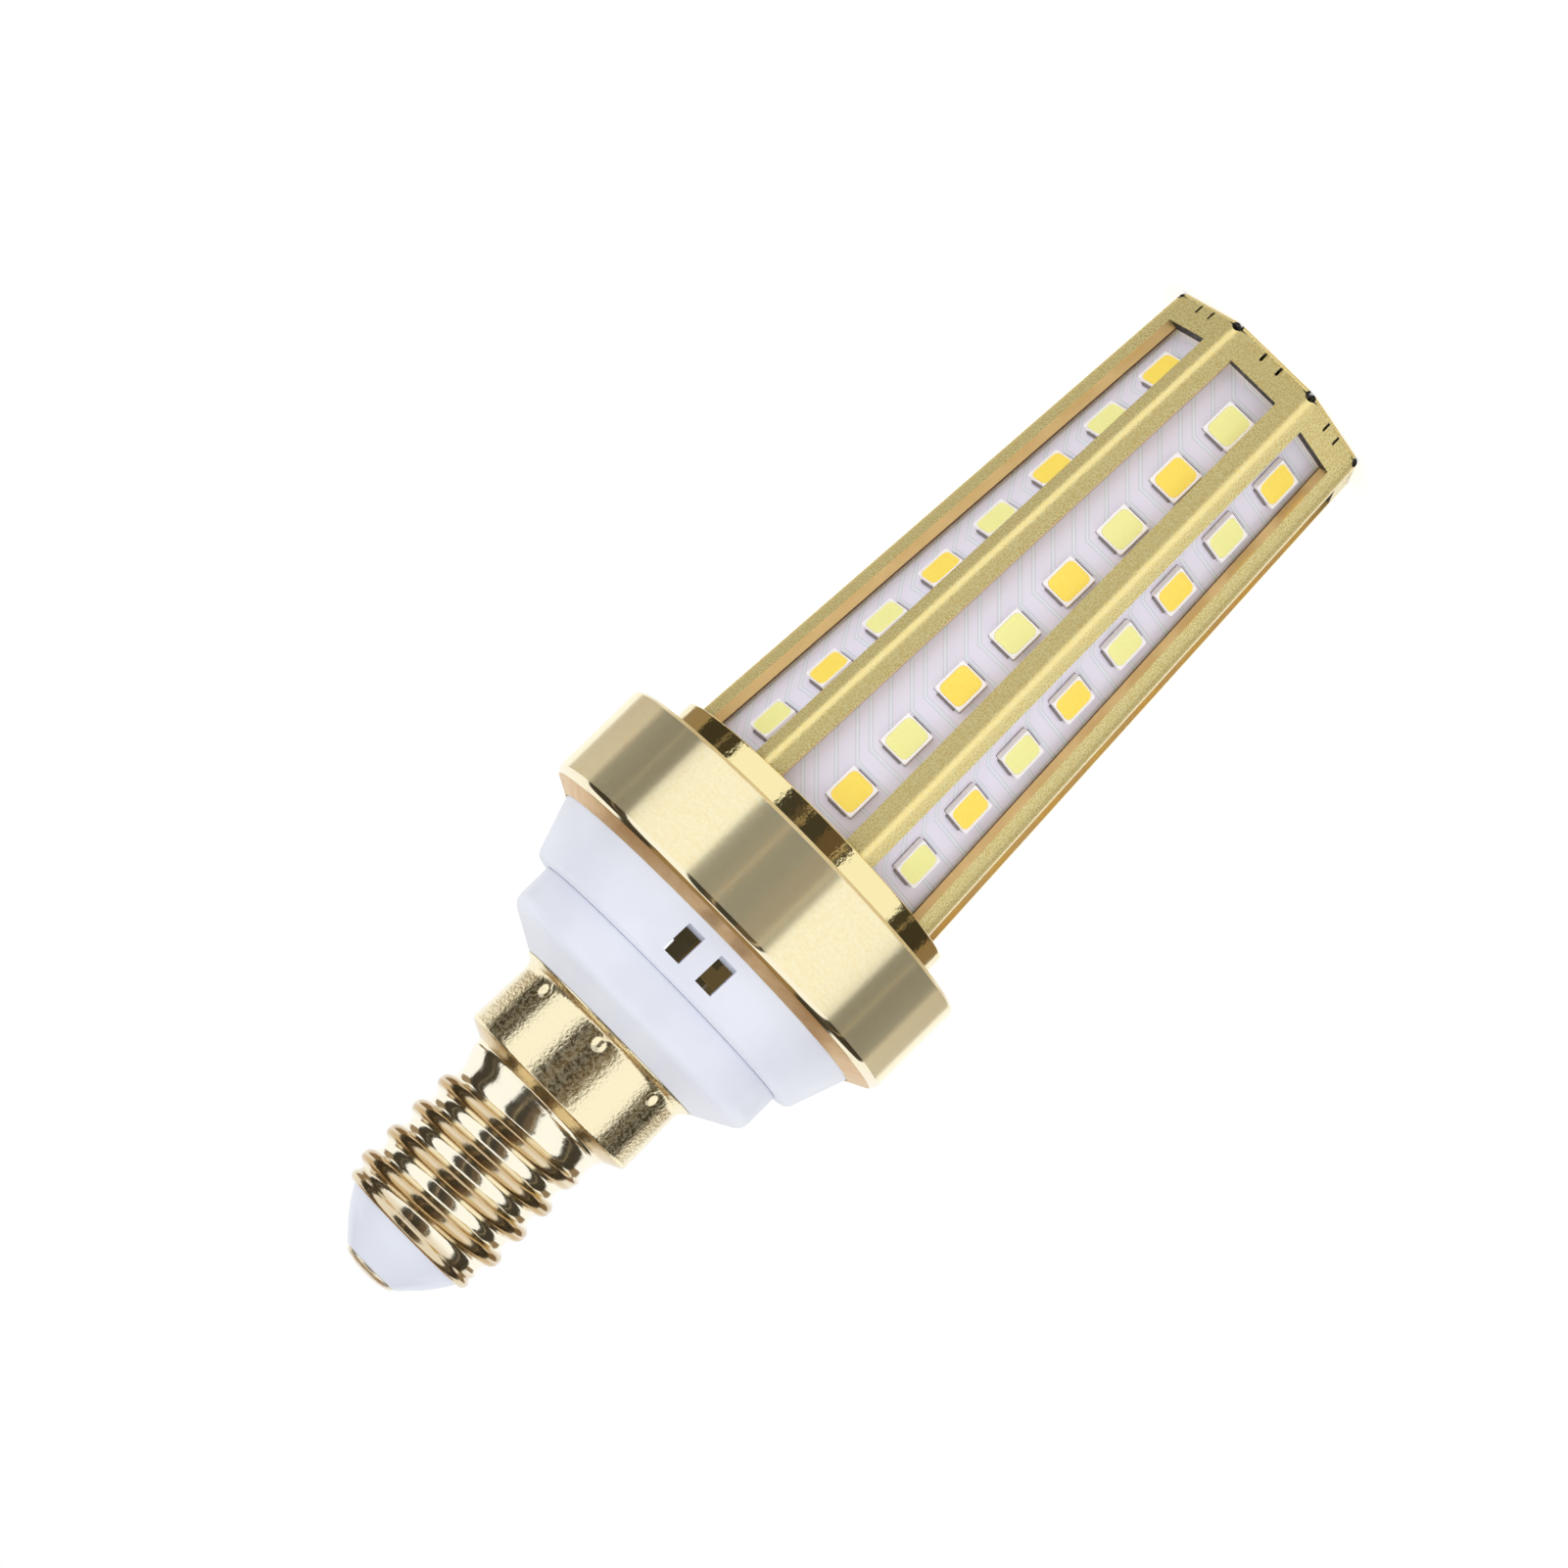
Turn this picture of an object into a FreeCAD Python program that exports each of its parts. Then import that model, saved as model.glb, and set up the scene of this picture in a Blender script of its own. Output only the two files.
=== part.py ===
import FreeCAD, Part
import math
import os
import Sketcher

# Corn LED bulb with a small screw cap (E14, 17 mm skirt).
# Millimetres. The bulb stands on its flat head: +Z runs from the head (z = 0)
# to the contact in the cap, and the origin is the centre of the head face.
# Front is -Y, the side that carries one full window of the frame.

FACES = 8
HALF_STEP = 180.0 / FACES

# Driving sizes, each written once: alias, value, what it measures.
SIZES = (
    # folded window frame
    ("frame_length", 54.1, "head face to the foot of the folded frame"),
    ("head_apothem", 9.91, "half width across flats at the head, outside"),
    ("foot_apothem", 12.88, "half width across flats at the foot, outside"),
    ("sheet_thickness", 1.2, "thickness of the frame's sheet"),
    ("inner_bend", 0.2, "inner radius of the eight long bends"),
    ("head_bend", 0.8, "outer radius where the tabs fold in"),
    ("rib_width", 1.70, "sheet left beside a window, on each face"),
    ("head_band", 2.76, "sheet left between the head and the windows"),
    ("foot_band", 2.0, "sheet left between the windows and the foot"),
    ("tab_depth", 3.6, "how far each tab reaches in over the head"),
    ("mitre_gap", 0.35, "gap between neighbouring tabs"),
    ("relief_radius", 0.55, "relief hole at each corner of the head"),
    ("tick_width", 0.25, "width of the small slits in the head band"),
    ("tick_height", 0.8, "length of the small slits"),
    ("tick_setback", 0.55, "head face to the slits"),
    ("tick_spacing", 1.7, "distance between the two slits of a face"),
    # light board and its packages
    ("end_plate_thickness", 1.0, "plate under the tabs"),
    ("end_plate_gap", 0.1, "play between that plate and the sheet"),
    ("board_gap", 0.43, "air between the sheet and the light board"),
    ("board_thickness", 1.0, "thickness of the folded light board"),
    ("led_width", 2.8, "package body across the face"),
    ("led_length", 3.15, "package body along the face"),
    ("led_height", 0.65, "package height over the board"),
    ("led_pitch", 6.02, "distance between packages in a row"),
    ("led_setback", 6.55, "head face to the first package, along the face"),
    ("led_end_room", 3.0, "last package to the foot end of its window, at least"),
    ("row_play", 0.04, "packages to the rib they sit close to, faces 1 3 5 7"),
    ("odd_row_share", 0.4, "share of that shift on faces 2 4 6 8"),
    ("phosphor_width", 2.3, "yellow patch across the face"),
    ("phosphor_length", 2.85, "yellow patch along the face"),
    ("phosphor_depth", 0.3, "depth of the patch in its package"),
    ("terminal_width", 1.9, "soldered end of a package, across"),
    ("terminal_reach", 0.18, "how far it stands out of the package"),
    ("terminal_height", 0.25, "its height over the board"),
    # plated collar with its base
    ("collar_wall", 0.474, "wall of the plated collar"),
    ("collar_rise", 2.3, "collar over the trim ring's head face"),
    ("collar_play", 0.06, "play between the frame's corners and the collar"),
    ("collar_edge", 0.12, "small bevel of the collar's rim"),
    ("floor_thickness", 1.2, "floor that the frame stands on"),
    ("flange_thickness", 1.2, "flange held under the ring's lip"),
    ("flange_width", 2.95, "width of that flange"),
    ("wire_hole", 3.0, "radius of the wire hole in the floor"),
    # turned trim ring
    ("ring_lip", 3.74, "how far the trim ring stands out past the collar"),
    ("ring_height", 10.0, "trim ring along the axis"),
    ("ring_bevel", 1.15, "height of the bevel at its lower edge"),
    ("ring_edge", 0.3, "small bevel at its upper edge"),
    ("ring_wall", 2.05, "wall of the trim ring"),
    ("lip_play", 0.1, "play between the ring's lip and the collar"),
    ("sleeve_play", 0.1, "play between the ring's bore and what it holds"),
    # upper white shell
    ("shell_wall", 1.5, "wall of the upper white shell"),
    ("shell_drop", 5.04, "shell in sight below the ring"),
    ("shell_taper", 1.75, "how far the shell draws in from the ring to its lower edge"),
    ("shell_round", 0.9, "rounding of that edge, as two bevels"),
    ("ledge_depth", 1.6, "collar's flange to the driver board"),
    ("ledge_reach", 1.1, "how far the ledge carries the driver board"),
    ("ledge_thickness", 0.8, "thickness of the ledge"),
    ("slot_width", 1.72, "vent slot across"),
    ("slot_height", 2.5, "vent slot along the axis"),
    ("slot_pitch", 3.5, "distance between the two slots of a pair"),
    ("slot_drop", 1.2, "ring's lower edge to the slots"),
    ("slot_turn", -9.5, "turn of the slot pair from the front, degrees"),
    # lower white cup
    ("cup_step", 1.25, "step from the shell's lower edge in to the cup"),
    ("cup_straight", 3.7, "its straight part"),
    ("cup_taper", 2.06, "its tapered part"),
    ("cup_brim", 0.3, "cup's floor past the cap's flared rim"),
    ("cup_wall", 1.4, "its wall"),
    ("spigot_height", 1.2, "cup inside the upper shell"),
    ("spigot_play", 0.1, "play between the cup and the upper shell"),
    ("neck_room", 0.8, "end of the cup's neck to the skirt's lower edge"),
    ("neck_wall", 1.15, "wall of that neck"),
    # screw cap
    ("cap_wall", 0.3, "sheet of the cap"),
    ("skirt_top_radius", 8.41, "skirt under the flare"),
    ("flare_reach", 0.47, "how far the flared rim stands out"),
    ("flare_height", 1.1, "height of the flare"),
    ("skirt_spread", 0.14, "how much the skirt widens down to its lower edge"),
    ("skirt_height", 6.8, "rim to the skirt's lower edge"),
    ("shoulder_height", 0.85, "slope between skirt and neck"),
    ("cap_neck_under", 0.05, "smooth neck under the crests of the thread"),
    ("cap_neck_length", 0.85, "its length"),
    ("thread_crest", 6.92, "crest radius of the rolled thread"),
    ("thread_depth", 0.8, "depth of the rolled thread"),
    ("thread_pitch", 2.822, "pitch of the thread"),
    ("thread_land", 0.5, "flat width of a crest or root"),
    ("thread_turns", 4, "full ridges"),
    ("lip_under", 0.5, "end of the threaded sleeve under the crests"),
    ("neck_play", 0.06, "play between the cup's neck and the skirt"),
    ("dimple_radius", 0.6, "stake mark round the skirt"),
    ("dimple_depth", 0.18, "its depth"),
    ("dimple_drop", 1.55, "cap's rim to the stake marks"),
    ("dimple_count", 8, "stake marks round the skirt"),
    ("dimple_turn", -6.8, "turn of the first stake mark, degrees"),
    # insulator and contact
    ("insulator_play", 0.04, "play between the insulator and the sleeve"),
    ("insulator_seat", 1.5, "insulator inside the sleeve"),
    ("insulator_height", 3.85, "insulator in sight"),
    ("insulator_end", 2.7, "its radius at the contact"),
    ("insulator_wall", 0.95, "its wall at the sleeve"),
    ("contact_radius", 2.52, "head of the contact pin"),
    ("contact_rise", 0.7, "its dome over the insulator"),
    ("contact_edge", 0.2, "height of its rim"),
    ("pin_radius", 1.0, "shank of the contact pin"),
    ("pin_length", 4.3, "its length"),
    ("pin_play", 0.03, "play of the shank in the insulator"),
    # driver
    ("driver_board_thickness", 1.2, "driver board"),
    ("driver_board_play", 0.15, "play between board and shell"),
    ("part_play", 0.25, "round parts of the driver to the cup's bore"),
    ("capacitor_radius", 3.15, "electrolytic capacitor"),
    ("capacitor_room", 1.1, "its end to the bend of the cup"),
    ("inductor_radius", 3.2, "flanges of the drum inductor"),
    ("inductor_core", 2.2, "winding of the drum inductor"),
    ("inductor_length", 7.5, "its length"),
    ("inductor_flange", 1.1, "thickness of its flanges"),
    ("film_width", 5.5, "film capacitor across"),
    ("film_depth", 3.0, "film capacitor front to back"),
    ("film_length", 7.0, "film capacitor height"),
    ("bridge_width", 4.2, "bridge rectifier across"),
    ("bridge_depth", 4.8, "bridge rectifier front to back"),
    ("bridge_height", 2.6, "bridge rectifier height"),
    ("chip_width", 5.0, "driver chip across"),
    ("chip_depth", 4.0, "driver chip front to back"),
    ("chip_height", 1.6, "driver chip height"),
    ("film_inset", 4.2, "cup's bore to the film capacitor's centre"),
    ("bridge_inset", 3.85, "cup's bore to the rectifier's centre"),
    ("chip_inset", 6.3, "rim of the driver board to the chip's centre"),
    ("resistor_radius", 1.6, "fuse resistor"),
    ("resistor_length", 9.0, "its length"),
    ("resistor_gap", 4.0, "its end to the contact's shank"),
    ("wire_radius", 0.35, "radius of every wire"),
    ("neutral_inset", 0.7, "bore of the cup's neck to the sleeve's wire"),
    ("neutral_gap", 0.05, "end of that wire to the shoulder"),
    ("led_wire_out", 1.6, "axis to each wire of the light board"),
    ("led_wire_rise", 4.2, "how far those wires reach up into the board"),
)

doc = FreeCAD.newDocument("CornBulb")
sheet = doc.addObject("Spreadsheet::Sheet", "sizes")
for row, (alias, value, note) in enumerate(SIZES, start=1):
    sheet.set(f"A{row}", note)
    sheet.set(f"B{row}", str(value))
    sheet.setAlias(f"B{row}", alias)
doc.recompute()


class Dim:
    """A length with the expression that ties it to the sheet of sizes."""

    def __init__(self, value, text):
        self.value = float(value)
        self.text = text

    def __add__(self, other):
        other = as_dim(other)
        return Dim(self.value + other.value, f"({self.text} + {other.text})")

    def __sub__(self, other):
        other = as_dim(other)
        return Dim(self.value - other.value, f"({self.text} - {other.text})")

    def __mul__(self, other):
        other = as_dim(other)
        return Dim(self.value * other.value, f"({self.text} * {other.text})")

    def __truediv__(self, other):
        other = as_dim(other)
        return Dim(self.value / other.value, f"({self.text} / {other.text})")

    def __neg__(self):
        return Dim(-self.value, f"(-1 * {self.text})")


def as_dim(value):
    return value if isinstance(value, Dim) else Dim(value, f"{value:.9g}")


def size(alias):
    return Dim(sheet.get(alias), f"sizes.{alias}")


ZERO = as_dim(0)
TAN_HALF = math.tan(math.radians(HALF_STEP))
COS_HALF = math.cos(math.radians(HALF_STEP))

# Heights along the axis that several pieces share.
foot_z = size("frame_length")
floor_under = foot_z + size("floor_thickness")
flange_under = floor_under + size("flange_thickness")
collar_rim = foot_z - size("collar_rise")
ring_end = foot_z + size("ring_height")
shell_end = ring_end + size("shell_drop")
cup_bend = shell_end + size("cup_straight")
cap_rim = cup_bend + size("cup_taper")
skirt_end = cap_rim + size("skirt_height")
cap_neck_top = skirt_end + size("shoulder_height")
thread_start = cap_neck_top + size("cap_neck_length")
half_pitch = size("thread_pitch") / 2
flank = half_pitch - size("thread_land")
lip_z = thread_start + flank + size("thread_pitch") * size("thread_turns") + half_pitch
sleeve_end = lip_z + size("thread_land")
contact_z = sleeve_end + size("insulator_height")
driver_top = flange_under + size("ledge_depth") + size("driver_board_thickness")
driver_under = flange_under + size("ledge_depth")
window_low = size("head_band")
window_high = foot_z - size("foot_band")

# Radii that several pieces share.
bend_radius = size("sheet_thickness") + size("inner_bend")
corner_radius = size("foot_apothem") / COS_HALF - bend_radius * (1 / COS_HALF - 1)
collar_bore = corner_radius + size("collar_play")
collar_radius = collar_bore + size("collar_wall")
ring_radius = collar_radius + size("ring_lip")
ring_bore = ring_radius - size("ring_wall")
sleeve_radius = ring_bore - size("sleeve_play")
shell_bore = sleeve_radius - size("shell_wall")
shell_end_radius = sleeve_radius - size("shell_taper")
board_radius = shell_bore - size("driver_board_play")
cup_radius = shell_end_radius - size("cup_step")
spigot_radius = cup_radius - size("cup_wall") / 2
cup_bore = spigot_radius - size("cup_wall")
flange_radius = size("skirt_top_radius") + size("flare_reach")
skirt_radius = size("skirt_top_radius") + size("skirt_spread")
cup_floor_radius = flange_radius + size("cup_brim")
neck_radius = size("skirt_top_radius") - size("cap_wall") - size("neck_play")
neck_bore = neck_radius - size("neck_wall")
cap_neck_radius = size("thread_crest") - size("cap_neck_under")
thread_root = size("thread_crest") - size("thread_depth")
lip_radius = size("thread_crest") - size("lip_under")
cap_bore = thread_root - size("cap_wall")
neutral_out = neck_bore - size("neutral_inset")

subparts = []


def origin_part(body, role):
    """One of the body's own origin planes or axes, found by its role."""
    return next(f for f in body.Origin.OriginFeatures if f.Role == role)


def new_body(label):
    body = doc.addObject("PartDesign::Body", label)
    body.Label = label
    subparts.append(body)
    return body


def new_sketch(body, name, role="XZ_Plane", lift=None, turn=0.0):
    """A sketch on an origin plane, lifted off it or turned about the bulb's axis."""
    sketch = body.newObject("Sketcher::SketchObject", f"{body.Name}_{name}")
    sketch.AttachmentSupport = [(origin_part(body, role), "")]
    sketch.MapMode = "FlatFace"
    spin = FreeCAD.Vector(0, 1, 0) if role == "XZ_Plane" else FreeCAD.Vector(0, 0, 1)
    sketch.AttachmentOffset = FreeCAD.Placement(
        FreeCAD.Vector(0, 0, lift.value if lift else 0), FreeCAD.Rotation(spin, turn)
    )
    if lift:
        sketch.setExpression("AttachmentOffset.Base.z", lift.text)
    return sketch


def tie(sketch, geo, pos, x, y):
    """Tie one point of the sketch to its two coordinates."""
    for coordinate, kind, axis in ((x, "DistanceX", -2), (y, "DistanceY", -1)):
        coordinate = as_dim(coordinate)
        if abs(coordinate.value) < 1e-9:
            sketch.addConstraint(Sketcher.Constraint("PointOnObject", geo, pos, axis))
            continue
        if coordinate.value > 0:
            rule = Sketcher.Constraint(kind, -1, 1, geo, pos, coordinate.value)
            text = coordinate.text
        else:
            rule = Sketcher.Constraint(kind, geo, pos, -1, 1, -coordinate.value)
            text = (-coordinate).text
        number = sketch.addConstraint(rule)
        sketch.setExpression(f"Constraints[{number}]", text)


def polygon(sketch, points):
    """A closed outline whose every corner is tied to the sheet."""
    points = [(as_dim(x), as_dim(y)) for x, y in points]
    first = sketch.GeometryCount
    count = len(points)
    for i in range(count):
        (x1, y1), (x2, y2) = points[i], points[(i + 1) % count]
        sketch.addGeometry(
            Part.LineSegment(
                FreeCAD.Vector(x1.value, y1.value, 0), FreeCAD.Vector(x2.value, y2.value, 0)
            ),
            False,
        )
    for i in range(count):
        after = first + (i + 1) % count
        sketch.addConstraint(Sketcher.Constraint("Coincident", first + i, 2, after, 1))
    for i, (x, y) in enumerate(points):
        tie(sketch, first + i, 1, x, y)


def circle(sketch, x, y, radius):
    geo = sketch.addGeometry(
        Part.Circle(
            FreeCAD.Vector(as_dim(x).value, as_dim(y).value, 0),
            FreeCAD.Vector(0, 0, 1),
            radius.value,
        ),
        False,
    )
    number = sketch.addConstraint(Sketcher.Constraint("Radius", geo, radius.value))
    sketch.setExpression(f"Constraints[{number}]", radius.text)
    tie(sketch, geo, 3, x, y)


def rectangle(sketch, x, y, width, length):
    """A rectangle given by its centre and its two sides."""
    x, y = as_dim(x), as_dim(y)
    polygon(
        sketch,
        (
            (x - width / 2, y - length / 2),
            (x + width / 2, y - length / 2),
            (x + width / 2, y + length / 2),
            (x - width / 2, y + length / 2),
        ),
    )


def revolve(body, points, name="turned"):
    """A turned solid: the outline lies in the XZ plane as radius and height."""
    sketch = new_sketch(body, f"{name}_outline")
    polygon(sketch, points)
    turned = body.newObject("PartDesign::Revolution", f"{body.Name}_{name}")
    turned.Profile = sketch
    turned.ReferenceAxis = (sketch, ["V_Axis"])
    turned.Angle = 360
    sketch.Visibility = False
    doc.recompute()
    return turned


def pad(body, sketch, length, name):
    solid = body.newObject("PartDesign::Pad", f"{body.Name}_{name}")
    solid.Profile = sketch
    solid.Length = length.value
    solid.setExpression("Length", length.text)
    doc.recompute()
    return solid


def pocket(body, sketch, length, name, reverse=False):
    """A cut from the sketch; its volume must fall, or it points the wrong way."""
    before = body.Shape.Volume
    cut = body.newObject("PartDesign::Pocket", f"{body.Name}_{name}")
    cut.Profile = sketch
    cut.Type = "Length"
    cut.Length = length.value
    cut.setExpression("Length", length.text)
    cut.Reversed = reverse
    doc.recompute()
    if not body.Shape.Volume < before - 1e-6:
        raise ValueError(f"{cut.Name} removes nothing")
    return cut


def around(body, features, count, name):
    """The features repeated evenly round the bulb's axis."""
    ring = body.newObject("PartDesign::PolarPattern", f"{body.Name}_{name}")
    ring.Originals = features
    ring.Axis = (origin_part(body, "Z_Axis"), [""])
    ring.Angle = 360
    ring.Occurrences = int(as_dim(count).value)
    if isinstance(count, Dim):
        ring.setExpression("Occurrences", count.text)
    body.Tip = ring
    doc.recompute()
    return ring


def edges_where(shape, test):
    """Names of the edges whose two ends and middle all pass the test."""
    names = []
    for number, edge in enumerate(shape.Edges, start=1):
        middle = edge.valueAt((edge.FirstParameter + edge.LastParameter) / 2)
        spots = [vertex.Point for vertex in edge.Vertexes] + [middle]
        if all(test(spot) for spot in spots):
            names.append(f"Edge{number}")
    return names


def soften(body, base, kind, edges, amount, name):
    """A fillet or chamfer on the named edges of the base feature."""
    feature = body.newObject(f"PartDesign::{kind}", f"{body.Name}_{name}")
    feature.Base = (base, edges)
    field = "Radius" if kind == "Fillet" else "Size"
    setattr(feature, field, amount.value)
    feature.setExpression(field, amount.text)
    doc.recompute()
    return feature


def octagon(apothem):
    """Corners of an eight-sided outline with a flat towards -Y."""
    half = apothem * TAN_HALF
    return (
        (half, -apothem),
        (apothem, -half),
        (apothem, half),
        (half, apothem),
        (-half, apothem),
        (-apothem, half),
        (-apothem, -half),
        (-half, -apothem),
    )


def apothem_at(height):
    """Half width across flats of the frame's outside at one height."""
    slope = (size("foot_apothem") - size("head_apothem")) / foot_z
    return size("head_apothem") + slope * height


def window_half_width(height):
    return apothem_at(height) * TAN_HALF - size("rib_width")


def taper_angle():
    """Slope of the eight sides, in degrees."""
    rise = size("foot_apothem") - size("head_apothem")
    degrees = math.degrees(math.atan2(rise.value, foot_z.value))
    return Dim(degrees, f"atan({rise.text} / {foot_z.text})")


def tapered_prism(body, low, high, name):
    """An eight-sided prism from one height to another, its sides leant out."""
    sketch = new_sketch(body, f"{name}_outline", "XY_Plane", low[0] if low[0].value else None)
    polygon(sketch, octagon(low[1]))
    blank = pad(body, sketch, high - low[0], f"{name}_blank")
    sides = [
        f"Face{number}"
        for number, face in enumerate(blank.Shape.Faces, start=1)
        if abs(face.normalAt(0, 0).z) < 0.5
    ]
    draft = body.newObject("PartDesign::Draft", f"{body.Name}_{name}_draft")
    draft.Base = (blank, sides)
    draft.NeutralPlane = (sketch, [""])
    draft.Angle = taper_angle().value
    draft.setExpression("Angle", taper_angle().text)
    draft.Reversed = True
    doc.recompute()
    if not draft.Shape.Volume > blank.Shape.Volume:
        raise ValueError(f"{draft.Name} leans the wrong way")
    return draft


def hollow(body, base, open_heights, wall, name):
    """The solid turned to sheet of one thickness, open at the given heights."""
    faces = [
        f"Face{number}"
        for number, face in enumerate(base.Shape.Faces, start=1)
        if any(abs(face.CenterOfMass.z - level.value) < 1e-6 for level in open_heights)
        and abs(face.normalAt(0, 0).z) > 0.9
    ]
    shell = body.newObject("PartDesign::Thickness", f"{body.Name}_{name}")
    shell.Base = (base, faces)
    shell.Value = wall.value
    shell.setExpression("Value", wall.text)
    shell.Join = 1
    shell.Reversed = True
    doc.recompute()
    return shell


def far_out(point):
    return math.hypot(point.x, point.y)


def build_window_frame():
    """One sheet folded to eight sides, with a window in each and tabs over the head."""
    body = new_body("window_frame")
    blank = tapered_prism(body, (ZERO, size("head_apothem")), foot_z, "sheet")
    bends = edges_where(
        blank.Shape,
        lambda p: far_out(p) > apothem_at(as_dim(p.z)).value / COS_HALF - 5e-3,
    )
    rounded = soften(body, blank, "Fillet", bends, bend_radius, "bends")
    thickness = size("sheet_thickness")
    folded = hollow(body, rounded, (foot_z,), thickness, "fold")
    head_edges = edges_where(folded.Shape, lambda p: abs(p.z) < 1e-6)
    soften(body, folded, "Fillet", head_edges, size("head_bend"), "head_bends")

    outline = new_sketch(body, "window_outline")
    narrow = window_half_width(window_low)
    wide = window_half_width(window_high)
    polygon(
        outline,
        ((-narrow, window_low), (narrow, window_low), (wide, window_high), (-wide, window_high)),
    )
    reach = size("foot_apothem") * 1.2
    window = pocket(body, outline, reach, "window", reverse=True)
    around(body, [window], FACES, "windows")

    opening = new_sketch(body, "head_opening", "XY_Plane")
    polygon(opening, octagon(size("head_apothem") - size("tab_depth")))
    pocket(body, opening, thickness * 2, "tabs", reverse=True)

    mitre = new_sketch(body, "mitre", "XY_Plane", turn=HALF_STEP)
    inner = (size("head_apothem") - size("tab_depth")) / COS_HALF
    outer = size("head_apothem") / COS_HALF
    middle = (inner + outer) / 2 - size("relief_radius")
    rectangle(mitre, 0, -middle, size("mitre_gap"), outer - inner + size("relief_radius"))
    gap = pocket(body, mitre, thickness * 1.5, "mitre_cut", reverse=True)
    around(body, [gap], FACES, "mitres")

    relief = new_sketch(body, "relief", turn=HALF_STEP)
    circle(relief, 0, size("relief_radius"), size("relief_radius"))
    hole = pocket(body, relief, reach, "relief_hole", reverse=True)
    around(body, [hole], FACES, "reliefs")

    ticks = new_sketch(body, "ticks")
    tick_middle = size("tick_setback") + size("tick_height") / 2
    for side in (-1, 1):
        rectangle(
            ticks, size("tick_spacing") * (side / 2), tick_middle, size("tick_width"),
            size("tick_height"),
        )
    slit = pocket(body, ticks, reach, "tick", reverse=True)
    around(body, [slit], FACES, "tick_slits")


def build_light_board():
    """The board folded to eight sides inside the frame, and the plate that closes it."""
    plate = new_body("end_plate")
    sketch = new_sketch(plate, "outline", "XY_Plane", size("sheet_thickness"))
    polygon(
        sketch,
        octagon(
            apothem_at(size("sheet_thickness")) - size("sheet_thickness") - size("end_plate_gap")
        ),
    )
    pad(plate, sketch, size("end_plate_thickness"), "plate")

    body = new_body("led_board")
    low = size("sheet_thickness") + size("end_plate_thickness")
    under = size("sheet_thickness") + size("board_gap")
    outside = tapered_prism(body, (low, apothem_at(low) - under), foot_z, "board")
    hollow(body, outside, (low, foot_z), size("board_thickness"), "fold")


def face_placement(face):
    """Where a face of the light board lies: X across it, Y down it, Z out of it."""
    azimuth = math.radians(2 * HALF_STEP * face)
    surface = apothem_at(ZERO) - size("sheet_thickness") - size("board_gap")
    rise = size("foot_apothem").value - size("head_apothem").value
    tilt = math.atan2(rise, foot_z.value)
    across = FreeCAD.Vector(math.cos(azimuth), math.sin(azimuth), 0)
    level = FreeCAD.Vector(math.sin(azimuth), -math.cos(azimuth), 0)
    down = level * math.sin(tilt) + FreeCAD.Vector(0, 0, math.cos(tilt))
    out = level * math.cos(tilt) - FreeCAD.Vector(0, 0, math.sin(tilt))
    rotation = FreeCAD.Rotation(across, down, out, "XYZ")
    return FreeCAD.Placement(level * surface.value, rotation)


def row_offset(face):
    """One row sits close to a rib, and the next only part of the way towards it."""
    first_end = size("led_setback") - size("led_length") / 2
    shift = window_half_width(first_end) - size("led_width") / 2 - size("row_play")
    return -(shift * size("odd_row_share")) if face % 2 else -shift


def led_count():
    """As many packages as the window has room for."""
    room = window_high - size("led_setback") - size("led_end_room")
    share = room / size("led_pitch")
    return Dim(math.floor(share.value) + 1, f"(floor({share.text}) + 1)")


def build_led_rows():
    """Eight rows of packages; every row is one pattern of a body with a well in it."""
    for face in range(FACES):
        body = new_body(f"led_row_{face + 1}")
        outline = new_sketch(body, "outline", "XY_Plane")
        rectangle(
            outline, row_offset(face), size("led_setback"), size("led_width"), size("led_length")
        )
        package = pad(body, outline, size("led_height"), "package")
        well = new_sketch(body, "well_outline", "XY_Plane", size("led_height"))
        rectangle(
            well, row_offset(face), size("led_setback"), size("phosphor_width"),
            size("phosphor_length"),
        )
        cavity = pocket(body, well, size("phosphor_depth"), "well")
        row = body.newObject("PartDesign::LinearPattern", f"{body.Name}_row")
        row.Originals = [package, cavity]
        row.Direction = (outline, ["V_Axis"])
        row.Mode = "Spacing"
        row.Offset = size("led_pitch").value
        row.setExpression("Offset", size("led_pitch").text)
        row.Occurrences = int(led_count().value)
        row.setExpression("Occurrences", led_count().text)
        body.Tip = row
        doc.recompute()
        body.Placement = face_placement(face)


def group(label, solids):
    """Separate solids of one kind that share one name."""
    feature = doc.addObject("Part::Feature", label)
    feature.Label = label
    feature.Shape = Part.makeCompound(solids)
    feature.Placement = FreeCAD.Placement()
    subparts.append(feature)


def block(face, x, y, z, width, length, height):
    """A block on a face of the light board, given by the middle of its underside."""
    corner = FreeCAD.Vector(x - width / 2, y - length / 2, z)
    solid = Part.makeBox(width, length, height, corner)
    return solid.transformGeometry(face_placement(face).toMatrix())


def is_warm(face, place):
    """Warm and cold packages take turns down a face and from face to face."""
    return (int(led_count().value) - 1 - place + face) % 2 == 0


def build_phosphors():
    """The yellow fillings of the packages, warm and cold apart, and the soldered ends."""
    warm, cold, ends = [], [], []
    top = size("led_height").value - size("phosphor_depth").value
    end_reach = (size("led_length") / 2 + size("terminal_reach") / 2).value
    for face in range(FACES):
        x = row_offset(face).value
        for place in range(int(led_count().value)):
            y = size("led_setback").value + place * size("led_pitch").value
            tile = block(
                face, x, y, top, size("phosphor_width").value, size("phosphor_length").value,
                size("phosphor_depth").value,
            )
            (warm if is_warm(face, place) else cold).append(tile)
            for side in (-1, 1):
                ends.append(
                    block(
                        face, x, y + side * end_reach, 0, size("terminal_width").value,
                        size("terminal_reach").value, size("terminal_height").value,
                    )
                )
    group("phosphor_warm", warm)
    group("phosphor_cold", cold)
    group("led_terminals", ends)


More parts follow.
